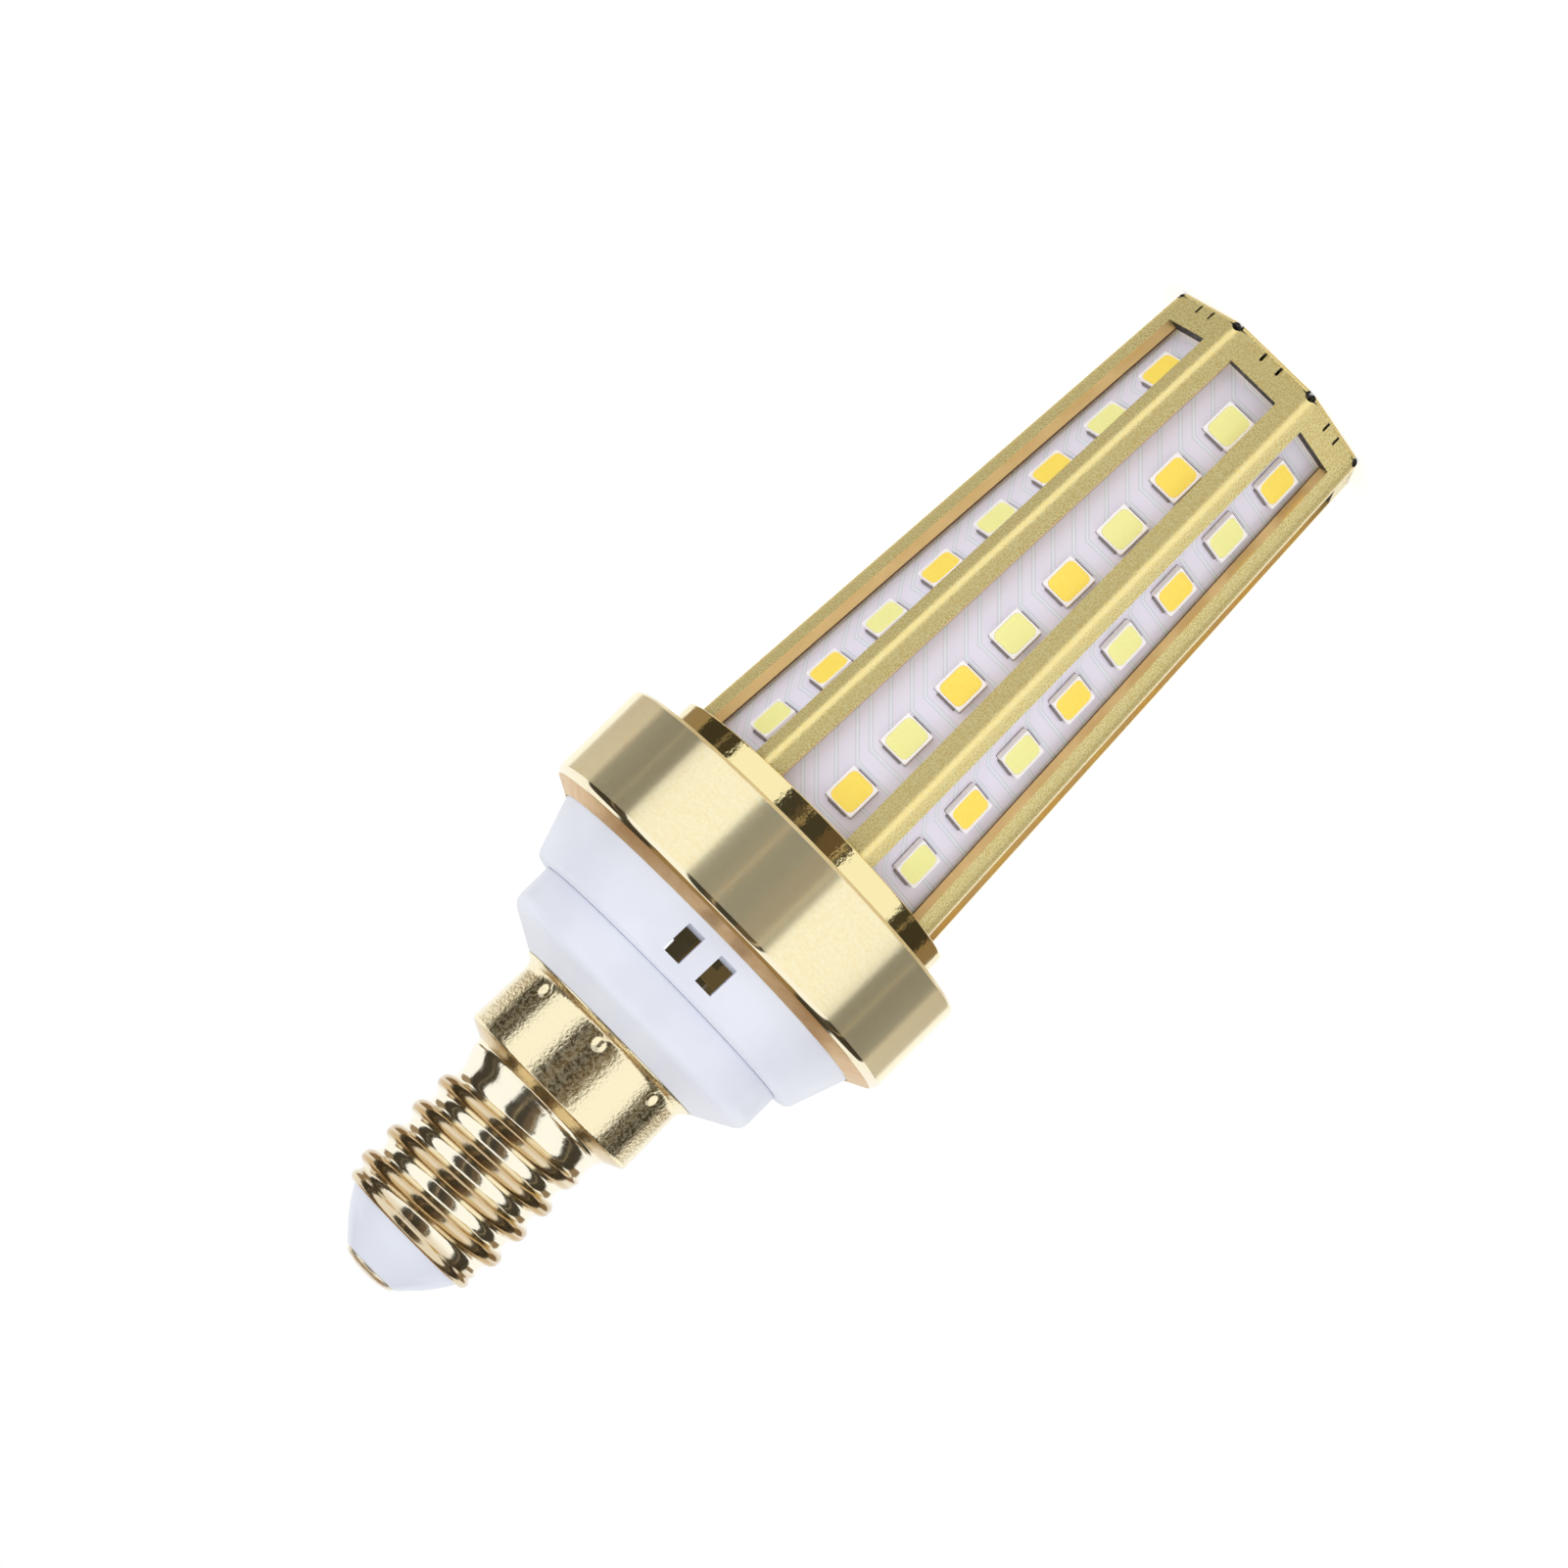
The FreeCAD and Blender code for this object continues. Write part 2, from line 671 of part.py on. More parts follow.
def build_collar():
    """The plated collar stands on a floor and is held by a flange under the ring's lip."""
    body = new_body("collar_base")
    flange_opening = sleeve_radius - size("flange_width")
    turned = revolve(
        body,
        (
            (size("wire_hole"), foot_z),
            (collar_bore, foot_z),
            (collar_bore, collar_rim),
            (collar_radius, collar_rim),
            (collar_radius, floor_under),
            (sleeve_radius, floor_under),
            (sleeve_radius, flange_under),
            (flange_opening, flange_under),
            (flange_opening, floor_under),
            (size("wire_hole"), floor_under),
        ),
    )
    rim = edges_where(
        turned.Shape,
        lambda p: abs(p.z - collar_rim.value) < 1e-6
        and abs(far_out(p) - collar_radius.value) < 1e-6,
    )
    soften(body, turned, "Chamfer", rim, size("collar_edge"), "rim")


def build_ring():
    """The turned trim ring: a lip at the head side, a bevel at the cap side."""
    body = new_body("trim_ring")
    edge = size("ring_edge")
    revolve(
        body,
        (
            (collar_radius + size("lip_play"), foot_z),
            (ring_radius - edge, foot_z),
            (ring_radius, foot_z + edge),
            (ring_radius, ring_end - size("ring_bevel")),
            (ring_bore, ring_end),
            (ring_bore, floor_under),
            (collar_radius + size("lip_play"), floor_under),
        ),
    )


def build_shell():
    """The upper white shell: a sleeve in the ring, a taper below it, and vent slots."""
    body = new_body("housing_shell")
    ledge = shell_bore - size("ledge_reach")
    ledge_end = driver_top + size("ledge_thickness")
    mouth = spigot_radius + size("spigot_play")
    end = shell_end_radius
    soft = size("shell_round")
    slope = size("shell_taper") / size("shell_drop")
    revolve(
        body,
        (
            (shell_bore, flange_under),
            (sleeve_radius, flange_under),
            (sleeve_radius, ring_end),
            (end + slope * soft * 0.67, shell_end - soft * 0.67),
            (end - soft * 0.13, shell_end - soft * 0.18),
            (end - soft * 0.71, shell_end),
            (mouth, shell_end),
            (mouth, shell_end - size("spigot_height")),
            (shell_bore, ring_end),
            (shell_bore, ledge_end + size("ledge_reach")),
            (ledge, ledge_end),
            (ledge, driver_top),
            (shell_bore, driver_top),
        ),
    )
    slots = new_sketch(body, "slots", turn=size("slot_turn").value)
    middle = ring_end + size("slot_drop") + size("slot_height") / 2
    for side in (-1, 1):
        rectangle(
            slots, size("slot_pitch") * (side / 2), middle, size("slot_width"), size("slot_height")
        )
    pair = pocket(body, slots, ring_radius, "slot_pair", reverse=True)
    around(body, [pair], 2, "slot_pairs")


def build_cup():
    """The lower white cup: a spigot up into the shell and a neck down into the cap."""
    body = new_body("housing_cup")
    spigot_top = shell_end - size("spigot_height")
    neck_end = skirt_end - size("neck_room")
    revolve(
        body,
        (
            (cup_bore, spigot_top),
            (spigot_radius, spigot_top),
            (spigot_radius, shell_end),
            (cup_radius, shell_end),
            (cup_radius, cup_bend),
            (cup_floor_radius, cap_rim),
            (neck_radius, cap_rim),
            (neck_radius, neck_end),
            (neck_bore, neck_end),
            (neck_bore, cap_rim - size("cup_wall") / 2),
            (cup_bore, cup_bend - size("cup_wall") / 2),
        ),
    )


def build_cap():
    """The drawn cap: flared rim, staked skirt, shoulder, smooth neck and rolled ridges."""
    body = new_body("screw_cap")
    wall = size("cap_wall")
    land = size("thread_land")
    crest, root = size("thread_crest"), thread_root
    points = [
        (flange_radius - wall, cap_rim),
        (flange_radius, cap_rim),
        (flange_radius, cap_rim + wall),
        (size("skirt_top_radius"), cap_rim + size("flare_height")),
        (skirt_radius, skirt_end),
        (cap_neck_radius, cap_neck_top),
        (cap_neck_radius, thread_start),
    ]
    for turn in range(int(size("thread_turns").value) + 1):
        groove = thread_start + flank + size("thread_pitch") * turn
        points.append((root, groove))
        points.append((root, groove + land))
        top = lip_radius if turn == int(size("thread_turns").value) else crest
        points.append((top, groove + half_pitch))
        points.append((top, groove + half_pitch + land))
    points.pop()
    points += [
        (cap_bore + wall, sleeve_end),
        (cap_bore, sleeve_end),
        (cap_bore, cap_neck_top + wall),
        (cap_neck_radius - wall, cap_neck_top - wall / 4),
        (skirt_radius - wall, skirt_end - wall / 4),
        (size("skirt_top_radius") - wall, cap_rim + size("flare_height")),
    ]
    revolve(body, points)
    mark = new_sketch(body, "dimple", turn=size("dimple_turn").value,
                      lift=size("skirt_top_radius") - size("dimple_depth"))
    circle(mark, 0, cap_rim + size("dimple_drop"), size("dimple_radius"))
    dent = pocket(body, mark, size("dimple_depth") * 4, "dimple_cut", reverse=True)
    around(body, [dent], size("dimple_count"), "dimples")


def build_contact():
    """The white insulator in the end of the sleeve, and the contact pin through it."""
    body = new_body("cap_insulator")
    seat = cap_bore - size("insulator_play")
    wall = size("insulator_wall")
    hole = size("pin_radius") + size("pin_play")
    seat_start = sleeve_end - size("insulator_seat")
    revolve(
        body,
        (
            (seat - wall, seat_start),
            (seat, seat_start),
            (seat, sleeve_end),
            (size("insulator_end"), contact_z),
            (hole, contact_z),
            (hole, contact_z - wall * 2),
            (size("insulator_end") - wall / 2, contact_z - wall * 2),
            (seat - wall, sleeve_end),
        ),
    )
    pin = new_body("center_contact")
    radius = size("contact_radius")
    edge = size("contact_edge")
    rise = size("contact_rise")
    revolve(
        pin,
        (
            (ZERO, contact_z - size("pin_length")),
            (size("pin_radius"), contact_z - size("pin_length")),
            (size("pin_radius"), contact_z),
            (radius, contact_z),
            (radius, contact_z + edge),
            (radius * 0.72, contact_z + edge + (rise - edge) * 0.62),
            (radius * 0.36, contact_z + edge + (rise - edge) * 0.92),
            (ZERO, contact_z + rise),
        ),
    )


def driver_spot(out, turn):
    """A place on the driver board, given by its distance and its turn."""
    angle = math.radians(turn)
    return out * math.cos(angle), out * math.sin(angle)


def build_driver():
    """The round driver board on its ledge, and the parts it carries."""
    board = new_body("driver_board")
    sketch = new_sketch(board, "outline", "XY_Plane", driver_under)
    circle(sketch, 0, 0, board_radius)
    pad(board, sketch, size("driver_board_thickness"), "board")

    capacitor = new_body("electrolytic_capacitor")
    sketch = new_sketch(capacitor, "outline", "XY_Plane", driver_top)
    x, y = driver_spot(cup_bore - size("part_play") - size("capacitor_radius"), 135)
    circle(sketch, x, y, size("capacitor_radius"))
    can_end = cup_bend - size("cup_wall") / 2 - size("capacitor_room")
    pad(capacitor, sketch, can_end - driver_top, "can")

    inductor = new_body("inductor")
    x, y = driver_spot(cup_bore - size("part_play") - size("inductor_radius"), 225)
    levels = (
        (ZERO, size("inductor_flange"), size("inductor_radius")),
        (
            size("inductor_flange"),
            size("inductor_length") - size("inductor_flange") * 2,
            size("inductor_core"),
        ),
        (
            size("inductor_length") - size("inductor_flange"),
            size("inductor_flange"),
            size("inductor_radius"),
        ),
    )
    for number, (start, thickness, radius) in enumerate(levels):
        sketch = new_sketch(inductor, f"disc_{number}", "XY_Plane", driver_top + start)
        circle(sketch, x, y, radius)
        pad(inductor, sketch, thickness, f"disc_{number}_pad")

    boxes = (
        ("film_capacitor", "film", 315, driver_top, "length"),
        ("bridge_rectifier", "bridge", 45, driver_top, "height"),
    )
    for label, stem, turn, level, tall in boxes:
        body = new_body(label)
        sketch = new_sketch(body, "outline", "XY_Plane", level)
        x, y = driver_spot(cup_bore - size(f"{stem}_inset"), turn)
        rectangle(sketch, x, y, size(f"{stem}_width"), size(f"{stem}_depth"))
        pad(body, sketch, size(f"{stem}_{tall}"), "case")

    chip = new_body("driver_chip")
    sketch = new_sketch(chip, "outline", "XY_Plane", driver_under - size("chip_height"))
    x, y = driver_spot(board_radius - size("chip_inset"), 0)
    rectangle(sketch, x, y, size("chip_width"), size("chip_depth"))
    pad(chip, sketch, size("chip_height"), "case")


def straight_round(label, x, low, high, radius):
    """A straight round piece along the axis, such as a wire or a resistor."""
    body = new_body(label)
    sketch = new_sketch(body, "outline", "XY_Plane", low)
    circle(sketch, x, 0, radius)
    pad(body, sketch, high - low, "run")


def build_wiring():
    """The fuse resistor in the cap, the wires to the cap, and the wires to the light board."""
    wire = size("wire_radius")
    pin_end = contact_z - size("pin_length")
    resistor_end = pin_end - size("resistor_gap")
    resistor_start = resistor_end - size("resistor_length")
    straight_round(
        "fuse_resistor", 0, resistor_start, resistor_end, size("resistor_radius")
    )
    straight_round("live_wire_board", 0, driver_top, resistor_start, wire)
    straight_round("live_wire_contact", 0, resistor_end, pin_end, wire)

    wall = size("cap_wall")
    run = (skirt_radius - neutral_out) / (skirt_radius - cap_neck_radius)
    shoulder = skirt_end - wall / 4 + size("shoulder_height") * run
    neutral_end = shoulder - wall - size("neutral_gap")
    straight_round("neutral_wire", neutral_out, driver_top, neutral_end, wire)

    rise = foot_z - size("led_wire_rise")
    inner = apothem_at(rise + wire) - size("sheet_thickness") - size("board_gap")
    inner = inner - size("board_thickness") - size("neutral_gap")
    start = size("led_wire_out")
    for label, turn in (("led_wire_plus", 0), ("led_wire_minus", 180)):
        body = new_body(label)
        path = new_sketch(body, "path")
        spots = ((start, driver_under), (start, rise), (inner, rise))
        flat = [FreeCAD.Vector(x.value, z.value, 0) for x, z in spots]
        path.addGeometry(
            [Part.LineSegment(flat[0], flat[1]), Part.LineSegment(flat[1], flat[2])], False
        )
        path.addConstraint(Sketcher.Constraint("Coincident", 0, 2, 1, 1))
        tie(path, 0, 1, *spots[0])
        tie(path, 0, 2, *spots[1])
        tie(path, 1, 2, *spots[2])
        profile = new_sketch(body, "section", "XY_Plane", driver_under)
        circle(profile, start, 0, wire)
        pipe = body.newObject("PartDesign::AdditivePipe", f"{body.Name}_pipe")
        pipe.Profile = profile
        pipe.Spine = (path, ["Edge1", "Edge2"])
        pipe.Transition = "Right corner"
        doc.recompute()
        body.Placement = FreeCAD.Placement(
            FreeCAD.Vector(), FreeCAD.Rotation(FreeCAD.Vector(0, 0, 1), turn)
        )


def check_and_write():
    """Every object must be sound before any file is written."""
    doc.recompute()
    for item in doc.Objects:
        bad = [word for word in item.State if word in ("Invalid", "Error")]
        if bad:
            raise ValueError(f"{item.Label} is {bad}")
    for item in subparts:
        shape = item.Shape
        if shape.isNull() or not shape.isValid() or not shape.Solids:
            raise ValueError(f"{item.Label} has no sound shape")
    os.makedirs("parts", exist_ok=True)
    for item in subparts:
        item.Shape.exportStep(f"parts/{item.Label}.step")
        print(f"{item.Label}: {len(item.Shape.Solids)} solid(s), {item.Shape.Volume:.1f} mm3")


build_window_frame()
build_light_board()
build_led_rows()
build_phosphors()
build_collar()
build_ring()
build_shell()
build_cup()
build_cap()
build_contact()
build_driver()
build_wiring()
check_and_write()
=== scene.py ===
# %% [markdown]
# A corn LED bulb, dressed for the camera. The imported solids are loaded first. Then
# the surfaces that the eye meets are worked out again as smooth sheets of points in
# the same frame: the bulb stands on its flat head, its axis is Z, and one window of
# the frame looks along -Y.

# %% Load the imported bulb
import math
import bmesh
import bpy
import numpy as np
from mathutils import Matrix, Vector


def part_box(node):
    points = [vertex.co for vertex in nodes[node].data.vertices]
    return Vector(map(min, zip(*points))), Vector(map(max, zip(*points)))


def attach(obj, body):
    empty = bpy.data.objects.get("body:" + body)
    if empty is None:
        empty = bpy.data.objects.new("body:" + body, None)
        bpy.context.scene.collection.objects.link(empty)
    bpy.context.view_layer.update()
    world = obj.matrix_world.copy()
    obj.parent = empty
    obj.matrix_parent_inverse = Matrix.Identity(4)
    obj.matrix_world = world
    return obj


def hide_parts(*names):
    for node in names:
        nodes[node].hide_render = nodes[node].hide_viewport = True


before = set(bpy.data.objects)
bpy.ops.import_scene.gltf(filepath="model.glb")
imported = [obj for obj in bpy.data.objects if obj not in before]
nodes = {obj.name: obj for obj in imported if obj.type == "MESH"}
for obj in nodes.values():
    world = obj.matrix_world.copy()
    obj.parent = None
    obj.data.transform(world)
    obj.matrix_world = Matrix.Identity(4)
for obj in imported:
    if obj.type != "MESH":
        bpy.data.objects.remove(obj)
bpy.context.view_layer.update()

scene = bpy.context.scene
scene.view_settings.view_transform = "Standard"
MM = 0.001

# %% [markdown]
# Radii and heights in mm that the solids' boxes give are taken from them.

# %% Sizes taken from the solids


def measured(node):
    """Widest radius, lowest and highest point of a solid, in mm, to a hundredth."""
    low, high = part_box(node)
    return [round(v / MM, 2) for v in (high[0], low[2], high[2])]


FOOT_APOTHEM, _, LENGTH = measured("window_frame")
print("the frame is", LENGTH, "mm long and", FOOT_APOTHEM, "from axis to side at its foot")


def new_object(name, data):
    """A mesh, lamp or camera as an object of the scene."""
    made = bpy.data.objects.new(name, data)
    scene.collection.objects.link(made)
    return made


# %% [markdown]
# The camera comes first.
# It stands about 37 cm away, a little on the cap's side of the bulb, and is rolled
# so that the bulb lies slanting across the square picture, cap at the lower left.
# It is turned about the upright, tilted from looking straight down, then rolled.

# %% Camera
camera_data = bpy.data.cameras.new("camera")
camera_data.lens = 105.55
camera_data.sensor_width = 36
camera = new_object("camera", camera_data)
camera.location = (-0.039387, -0.366, 0.084996)
view_turn, view_tilt, view_roll = np.radians([-6.8344, 84.7074, -134.4121])
view = Matrix.Rotation(view_turn, 3, "Z") @ Matrix.Rotation(view_tilt, 3, "X")
view = view @ Matrix.Rotation(view_roll, 3, "Z")
camera.rotation_mode = "QUATERNION"
camera.rotation_quaternion = view.to_quaternion()
scene.camera = camera
print("camera at", [round(v, 4) for v in camera.location])

# %% [markdown]
# Every surface below is a grid of points: rows one way, columns the other. This
# helper joins neighbouring points with four-sided faces. A mask leaves out the
# faces where there is a window or a slot.

# %% Grids of points to faces


def grid_faces(rows, cols, around=True, keep=None):
    """Corner numbers of the faces between neighbouring rows and columns of a grid."""
    index = np.arange(rows * cols).reshape(rows, cols)
    if around:
        index = np.concatenate([index, index[:, :1]], axis=1)
    faces = np.stack(
        [index[:-1, :-1], index[:-1, 1:], index[1:, 1:], index[1:, :-1]], axis=-1
    )
    return faces[keep] if keep is not None else faces.reshape(-1, 4)


def make_piece(name, points, faces, materials, sharp=35.0, uv=None, kinds=None):
    """A mesh piece in metres; merged, closed, with its faces outward and smooth to a limit."""
    mesh = bpy.data.meshes.new(name)
    mesh.from_pydata((points.reshape(-1, 3) * MM).tolist(), [], [list(f) for f in faces])
    for material in materials:
        mesh.materials.append(material)
    if kinds is not None:
        mesh.polygons.foreach_set("material_index", kinds)
    if uv is not None:
        corners = np.empty(len(mesh.loops), dtype=np.int32)
        mesh.loops.foreach_get("vertex_index", corners)
        layer = mesh.uv_layers.new(name="own_map")
        layer.data.foreach_set("uv", uv.reshape(-1, 2)[corners].ravel())
    work = bmesh.new()
    work.from_mesh(mesh)
    bmesh.ops.remove_doubles(work, verts=work.verts, dist=2e-7)
    bmesh.ops.recalc_face_normals(work, faces=work.faces)
    work.to_mesh(mesh)
    work.free()
    mesh.shade_smooth()
    mesh.set_sharp_from_angle(angle=math.radians(sharp))
    piece = new_object(name, mesh)
    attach(piece, "root")
    print(name, len(mesh.polygons), "faces")
    return piece


def thick_sheet(outer, inner, faces, shadow_share=0.12):
    """Points and faces of a sheet with two sides: the outer grid, the inner one, and a wall
    along every edge that only one face of the outer grid has. The wall is two strips, so
    that its foot, a share of the thickness, can carry a painted shadow. Unused points are left
    out."""
    flat, back = outer.reshape(-1, 3), inner.reshape(-1, 3)
    _, first, same = np.unique(
        flat.round(5), axis=0, return_index=True, return_inverse=True
    )
    faces = first[same.ravel()][faces]
    steps = [faces[:, [i, (i + 1) % 4]] for i in range(4)]
    edges = np.concatenate(steps)
    edges = edges[edges[:, 0] != edges[:, 1]]
    _, where, count = np.unique(
        np.sort(edges, axis=1), axis=0, return_index=True, return_counts=True
    )
    rim = edges[where[count == 1]]
    size = len(flat)
    turned_rim = rim[:, ::-1]
    wall = np.concatenate([turned_rim, rim + 2 * size], axis=1)
    foot = np.concatenate([turned_rim + 2 * size, rim + size], axis=1)
    kinds = np.repeat([0, 0, 1, 2], [len(faces), len(faces), len(rim), len(rim)])
    points = np.concatenate([flat, back, shadow_share * flat + (1 - shadow_share) * back])
    faces = np.concatenate([faces, faces[:, ::-1] + size, wall, foot])
    used, faces = np.unique(faces, return_inverse=True)
    return points[used], faces.reshape(-1, 4), kinds


# %% [markdown]
# Turned pieces are drawn as half a section, radius and height, and swept once round
# the axis. A sharp corner on a real turned or moulded piece is never quite sharp, so
# each corner of the section gets a small arc, with a point just before and after
# it to keep the flats flat in the reflections.

# %% Sections with rounded corners, swept round the axis


def rounded(section, radii, steps=5):
    """The closed section with an arc at each corner: each arc's points are a quadratic
    mix of the corner and the two points where the arc leaves its sides."""
    corner = np.array(section, dtype=float)
    before = np.roll(corner, 1, axis=0) - corner
    after = np.roll(corner, -1, axis=0) - corner
    reach = np.array(radii, dtype=float)[:, None]
    room_before = np.linalg.norm(before, axis=1, keepdims=True)
    room_after = np.linalg.norm(after, axis=1, keepdims=True)
    most_of_a_side, support = 0.45, 0.12
    reach = np.minimum(reach, most_of_a_side * np.minimum(room_before, room_after))
    enter = corner + before / room_before * reach
    leave = corner + after / room_after * reach
    mix = np.linspace(0, 1, steps)[None, :, None]
    arc = (
        (1 - mix) ** 2 * enter[:, None] + 2 * mix * (1 - mix) * corner[:, None]
        + mix**2 * leave[:, None]
    )
    support_in = enter + before / room_before * reach * support
    support_out = leave + after / room_after * reach * support
    ring = np.concatenate([support_in[:, None], arc, support_out[:, None]], axis=1)
    return ring.reshape(-1, 2)


def round_axis(radius, angle, height):
    """Points at an angle round the axis: x = r cos, y = r sin, z as drawn."""
    height = height + 0 * angle
    return np.stack([radius * np.cos(angle), radius * np.sin(angle), height], axis=-1)


def turned(section, columns=192):
    """Points of a closed section swept once round the axis."""
    angle = np.linspace(0, 2 * np.pi, columns, endpoint=False)
    closed = round_axis(section[:, :1], angle, section[:, 1:])
    return np.concatenate([closed, closed[:1]])


def turned_piece(name, section, radii, materials, node, columns=192, kinds=None):
    """A whole turned piece from its section, in place of its solid."""
    points = turned(rounded(section, radii), columns)
    faces = grid_faces(*points.shape[:2])
    piece = make_piece(name, points, faces, materials, kinds=kinds)
    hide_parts(node)


def break_edges(piece, width_mm):
    """Two small facets on every edge sharper than 50 degrees, as a broken edge has."""
    soften = piece.modifiers.new("edges", "BEVEL")
    soften.width = width_mm * MM
    soften.segments = 2
    soften.limit_method = "ANGLE"
    soften.angle_limit = math.radians(50)


# %% [markdown]
# A finish is one shader whose colour, gloss and tiny relief come from noise read in
# the bulb's own space. Colours are written as they look on a screen.

# %% Shared material helpers


def paint(red, green, blue):
    """Screen colour, 0 to 255, as light."""
    screen = np.array([red, green, blue]) / 255
    light = np.where(screen <= 0.04045, screen / 12.92, ((screen + 0.055) / 1.055) ** 2.4)
    return (*light.tolist(), 1.0)


def new_finish(name, colour, metallic, roughness):
    """A new material with its nodes and its shader."""
    material = bpy.data.materials.new(name)
    material.use_nodes = True
    shader = material.node_tree.nodes["Principled BSDF"]
    shader.inputs["Base Color"].default_value = colour
    shader.inputs["Metallic"].default_value = metallic
    shader.inputs["Roughness"].default_value = roughness
    return material, material.node_tree, shader


def noise_on_object(tree, scale, detail=2.0, stretch=(1, 1, 1)):
    """Noise with features of about 1/scale metres, read from the object's own space."""
    place = tree.nodes.new("ShaderNodeTexCoord")
    mapping = tree.nodes.new("ShaderNodeMapping")
    mapping.inputs["Scale"].default_value = stretch
    noise = tree.nodes.new("ShaderNodeTexNoise")
    noise.inputs["Scale"].default_value = scale
    noise.inputs["Detail"].default_value = detail
    tree.links.new(place.outputs["Object"], mapping.inputs["Vector"])
    tree.links.new(mapping.outputs["Vector"], noise.inputs["Vector"])
    return noise.outputs["Fac"]


def own_map_values(tree):
    """Both values of the piece's own map."""
    own_map = tree.nodes.new("ShaderNodeUVMap")
    own_map.uv_map = "own_map"
    split = tree.nodes.new("ShaderNodeSeparateXYZ")
    tree.links.new(own_map.outputs["UV"], split.inputs["Vector"])
    return split.outputs["X"], split.outputs["Y"]


def painted_glow(shader, colour, strength):
    """Painted glow: a little light of the surface's own, though it is no lamp."""
    shader.inputs["Emission Color"].default_value = colour
    shader.inputs["Emission Strength"].default_value = strength


def relief(tree, shader, height, strength, depth_mm):
    """Tiny relief in the shading, from a height of 0 to 1 and a depth in mm."""
    bump = tree.nodes.new("ShaderNodeBump")
    bump.inputs["Strength"].default_value = strength
    bump.inputs["Distance"].default_value = depth_mm * MM
    tree.links.new(height, bump.inputs["Height"])
    tree.links.new(bump.outputs["Normal"], shader.inputs["Normal"])
    return bump


def calculate(tree, operation, first, second=None):
    """One sum on two values; a value may be a number or a node's output."""
    node = tree.nodes.new("ShaderNodeMath")
    node.operation = operation
    for socket, value in zip(node.inputs, (first, second)):
        if isinstance(value, (int, float)):
            socket.default_value = value
        elif value is not None:
            tree.links.new(value, socket)
    return node.outputs["Value"]


def between(tree, value, low, high, socket, from_low=0.3, from_high=0.7):
    """Send a value to a socket, spread from one amount to another."""
    spread = tree.nodes.new("ShaderNodeMapRange")
    spread.inputs["From Min"].default_value = from_low
    spread.inputs["From Max"].default_value = from_high
    spread.inputs["To Min"].default_value = low
    spread.inputs["To Max"].default_value = high
    tree.links.new(value, spread.inputs["Value"])
    tree.links.new(spread.outputs["Result"], socket)


def two_colours(tree, value, first, second, socket, from_low=0.35, from_high=0.65):
    """Send a colour to a socket, spread from one colour to another."""
    ramp = tree.nodes.new("ShaderNodeValToRGB")
    ramp.color_ramp.elements[0].position = from_low
    ramp.color_ramp.elements[0].color = first
    ramp.color_ramp.elements[1].position = from_high
    ramp.color_ramp.elements[1].color = second
    tree.links.new(value, ramp.inputs["Fac"])
    tree.links.new(ramp.outputs["Color"], socket)


# %% [markdown]
# Gold comes in several finishes. The folded frame has a matt, sandy coat. Its cut
# edges are smoother and more orange, with a painted brown shadow at their foot, where
# the gap to the board begins, and at the head they are painted near black with pale
# flecks, for the shade in the cuts. The wide ring is turned and satin: fine lines run
# round it, which spread the light up and down but not sideways. Its bevel is duller.
# The collar and the cap are polished plating. The cap's own map gives the strength of
# a painted reflection, a deeper gold that is greatest on the thread's flanks, and the
# height, because the skirt is the most worn.

# %% Gold finishes
frame_gold, tree, shader = new_finish("frame_gold_finish", paint(252, 232, 160), 0.52, 0.28)
grain = noise_on_object(tree, 5600, 3.0)
two_colours(
    tree, grain, paint(253, 229, 149), paint(255, 243, 180), shader.inputs["Base Color"],
    0.36, 0.64,
)
between(tree, grain, 0.22, 0.34, shader.inputs["Roughness"])
relief(tree, shader, grain, 0.5, 0.042)

frame_cut, tree, shader = new_finish("frame_cut_finish", paint(250, 216, 144), 0.8, 0.34)
relief(tree, shader, noise_on_object(tree, 2600), 0.2, 0.03)

# Painted shadow: a brown strip at the foot of each cut wall, for the shade in the gap to the
# board.
painted_gap_shadow, tree, shader = new_finish("painted_gap_shadow_finish", paint(92, 56, 38), 0.0, 0.6)
relief(tree, shader, noise_on_object(tree, 2600), 0.2, 0.03)

# Painted shade: the cut edges at the head, near black with pale flecks, for the shade in slits,
# notches and window ends.
painted_cut_shade, tree, shader = new_finish("painted_cut_shade_finish", paint(42, 36, 30), 0.0, 0.6)
flecks = noise_on_object(tree, 3000)
two_colours(
    tree, flecks, paint(34, 30, 26), paint(120, 110, 96), shader.inputs["Base Color"],
    0.5, 0.75,
)

ring_gold, tree, shader = new_finish("ring_gold_finish", paint(254, 240, 196), 0.77, 0.26)
shader.inputs["Anisotropic"].default_value = 1.0
shader.inputs["Anisotropic Rotation"].default_value = 0.25
tangent = tree.nodes.new("ShaderNodeTangent")
tangent.direction_type = "RADIAL"
tangent.axis = "Z"
tree.links.new(tangent.outputs["Tangent"], shader.inputs["Tangent"])
brushed = noise_on_object(tree, 420, 3.0, (1, 1, 14))
specks = noise_on_object(tree, 3600)
turned_lines = calculate(tree, "ADD", calculate(tree, "MULTIPLY", brushed, 0.6), specks)
two_colours(
    tree, turned_lines, paint(254, 238, 191), paint(255, 245, 206), shader.inputs["Base Color"],
    0.55, 1.05,
)
relief(tree, shader, turned_lines, 0.08, 0.014)

ring_chamfer, tree, shader = new_finish("ring_chamfer_finish", paint(252, 242, 212), 1.0, 0.09)
relief(tree, shader, noise_on_object(tree, 2000), 0.08, 0.01)

ring_bevel, tree, shader = new_finish("ring_bevel_finish", paint(236, 202, 152), 1.0, 0.35)
tint = noise_on_object(tree, 900, 3.0)
two_colours(
    tree, tint, paint(231, 194, 142), paint(240, 209, 160), shader.inputs["Base Color"]
)
relief(tree, shader, tint, 0.08, 0.02)

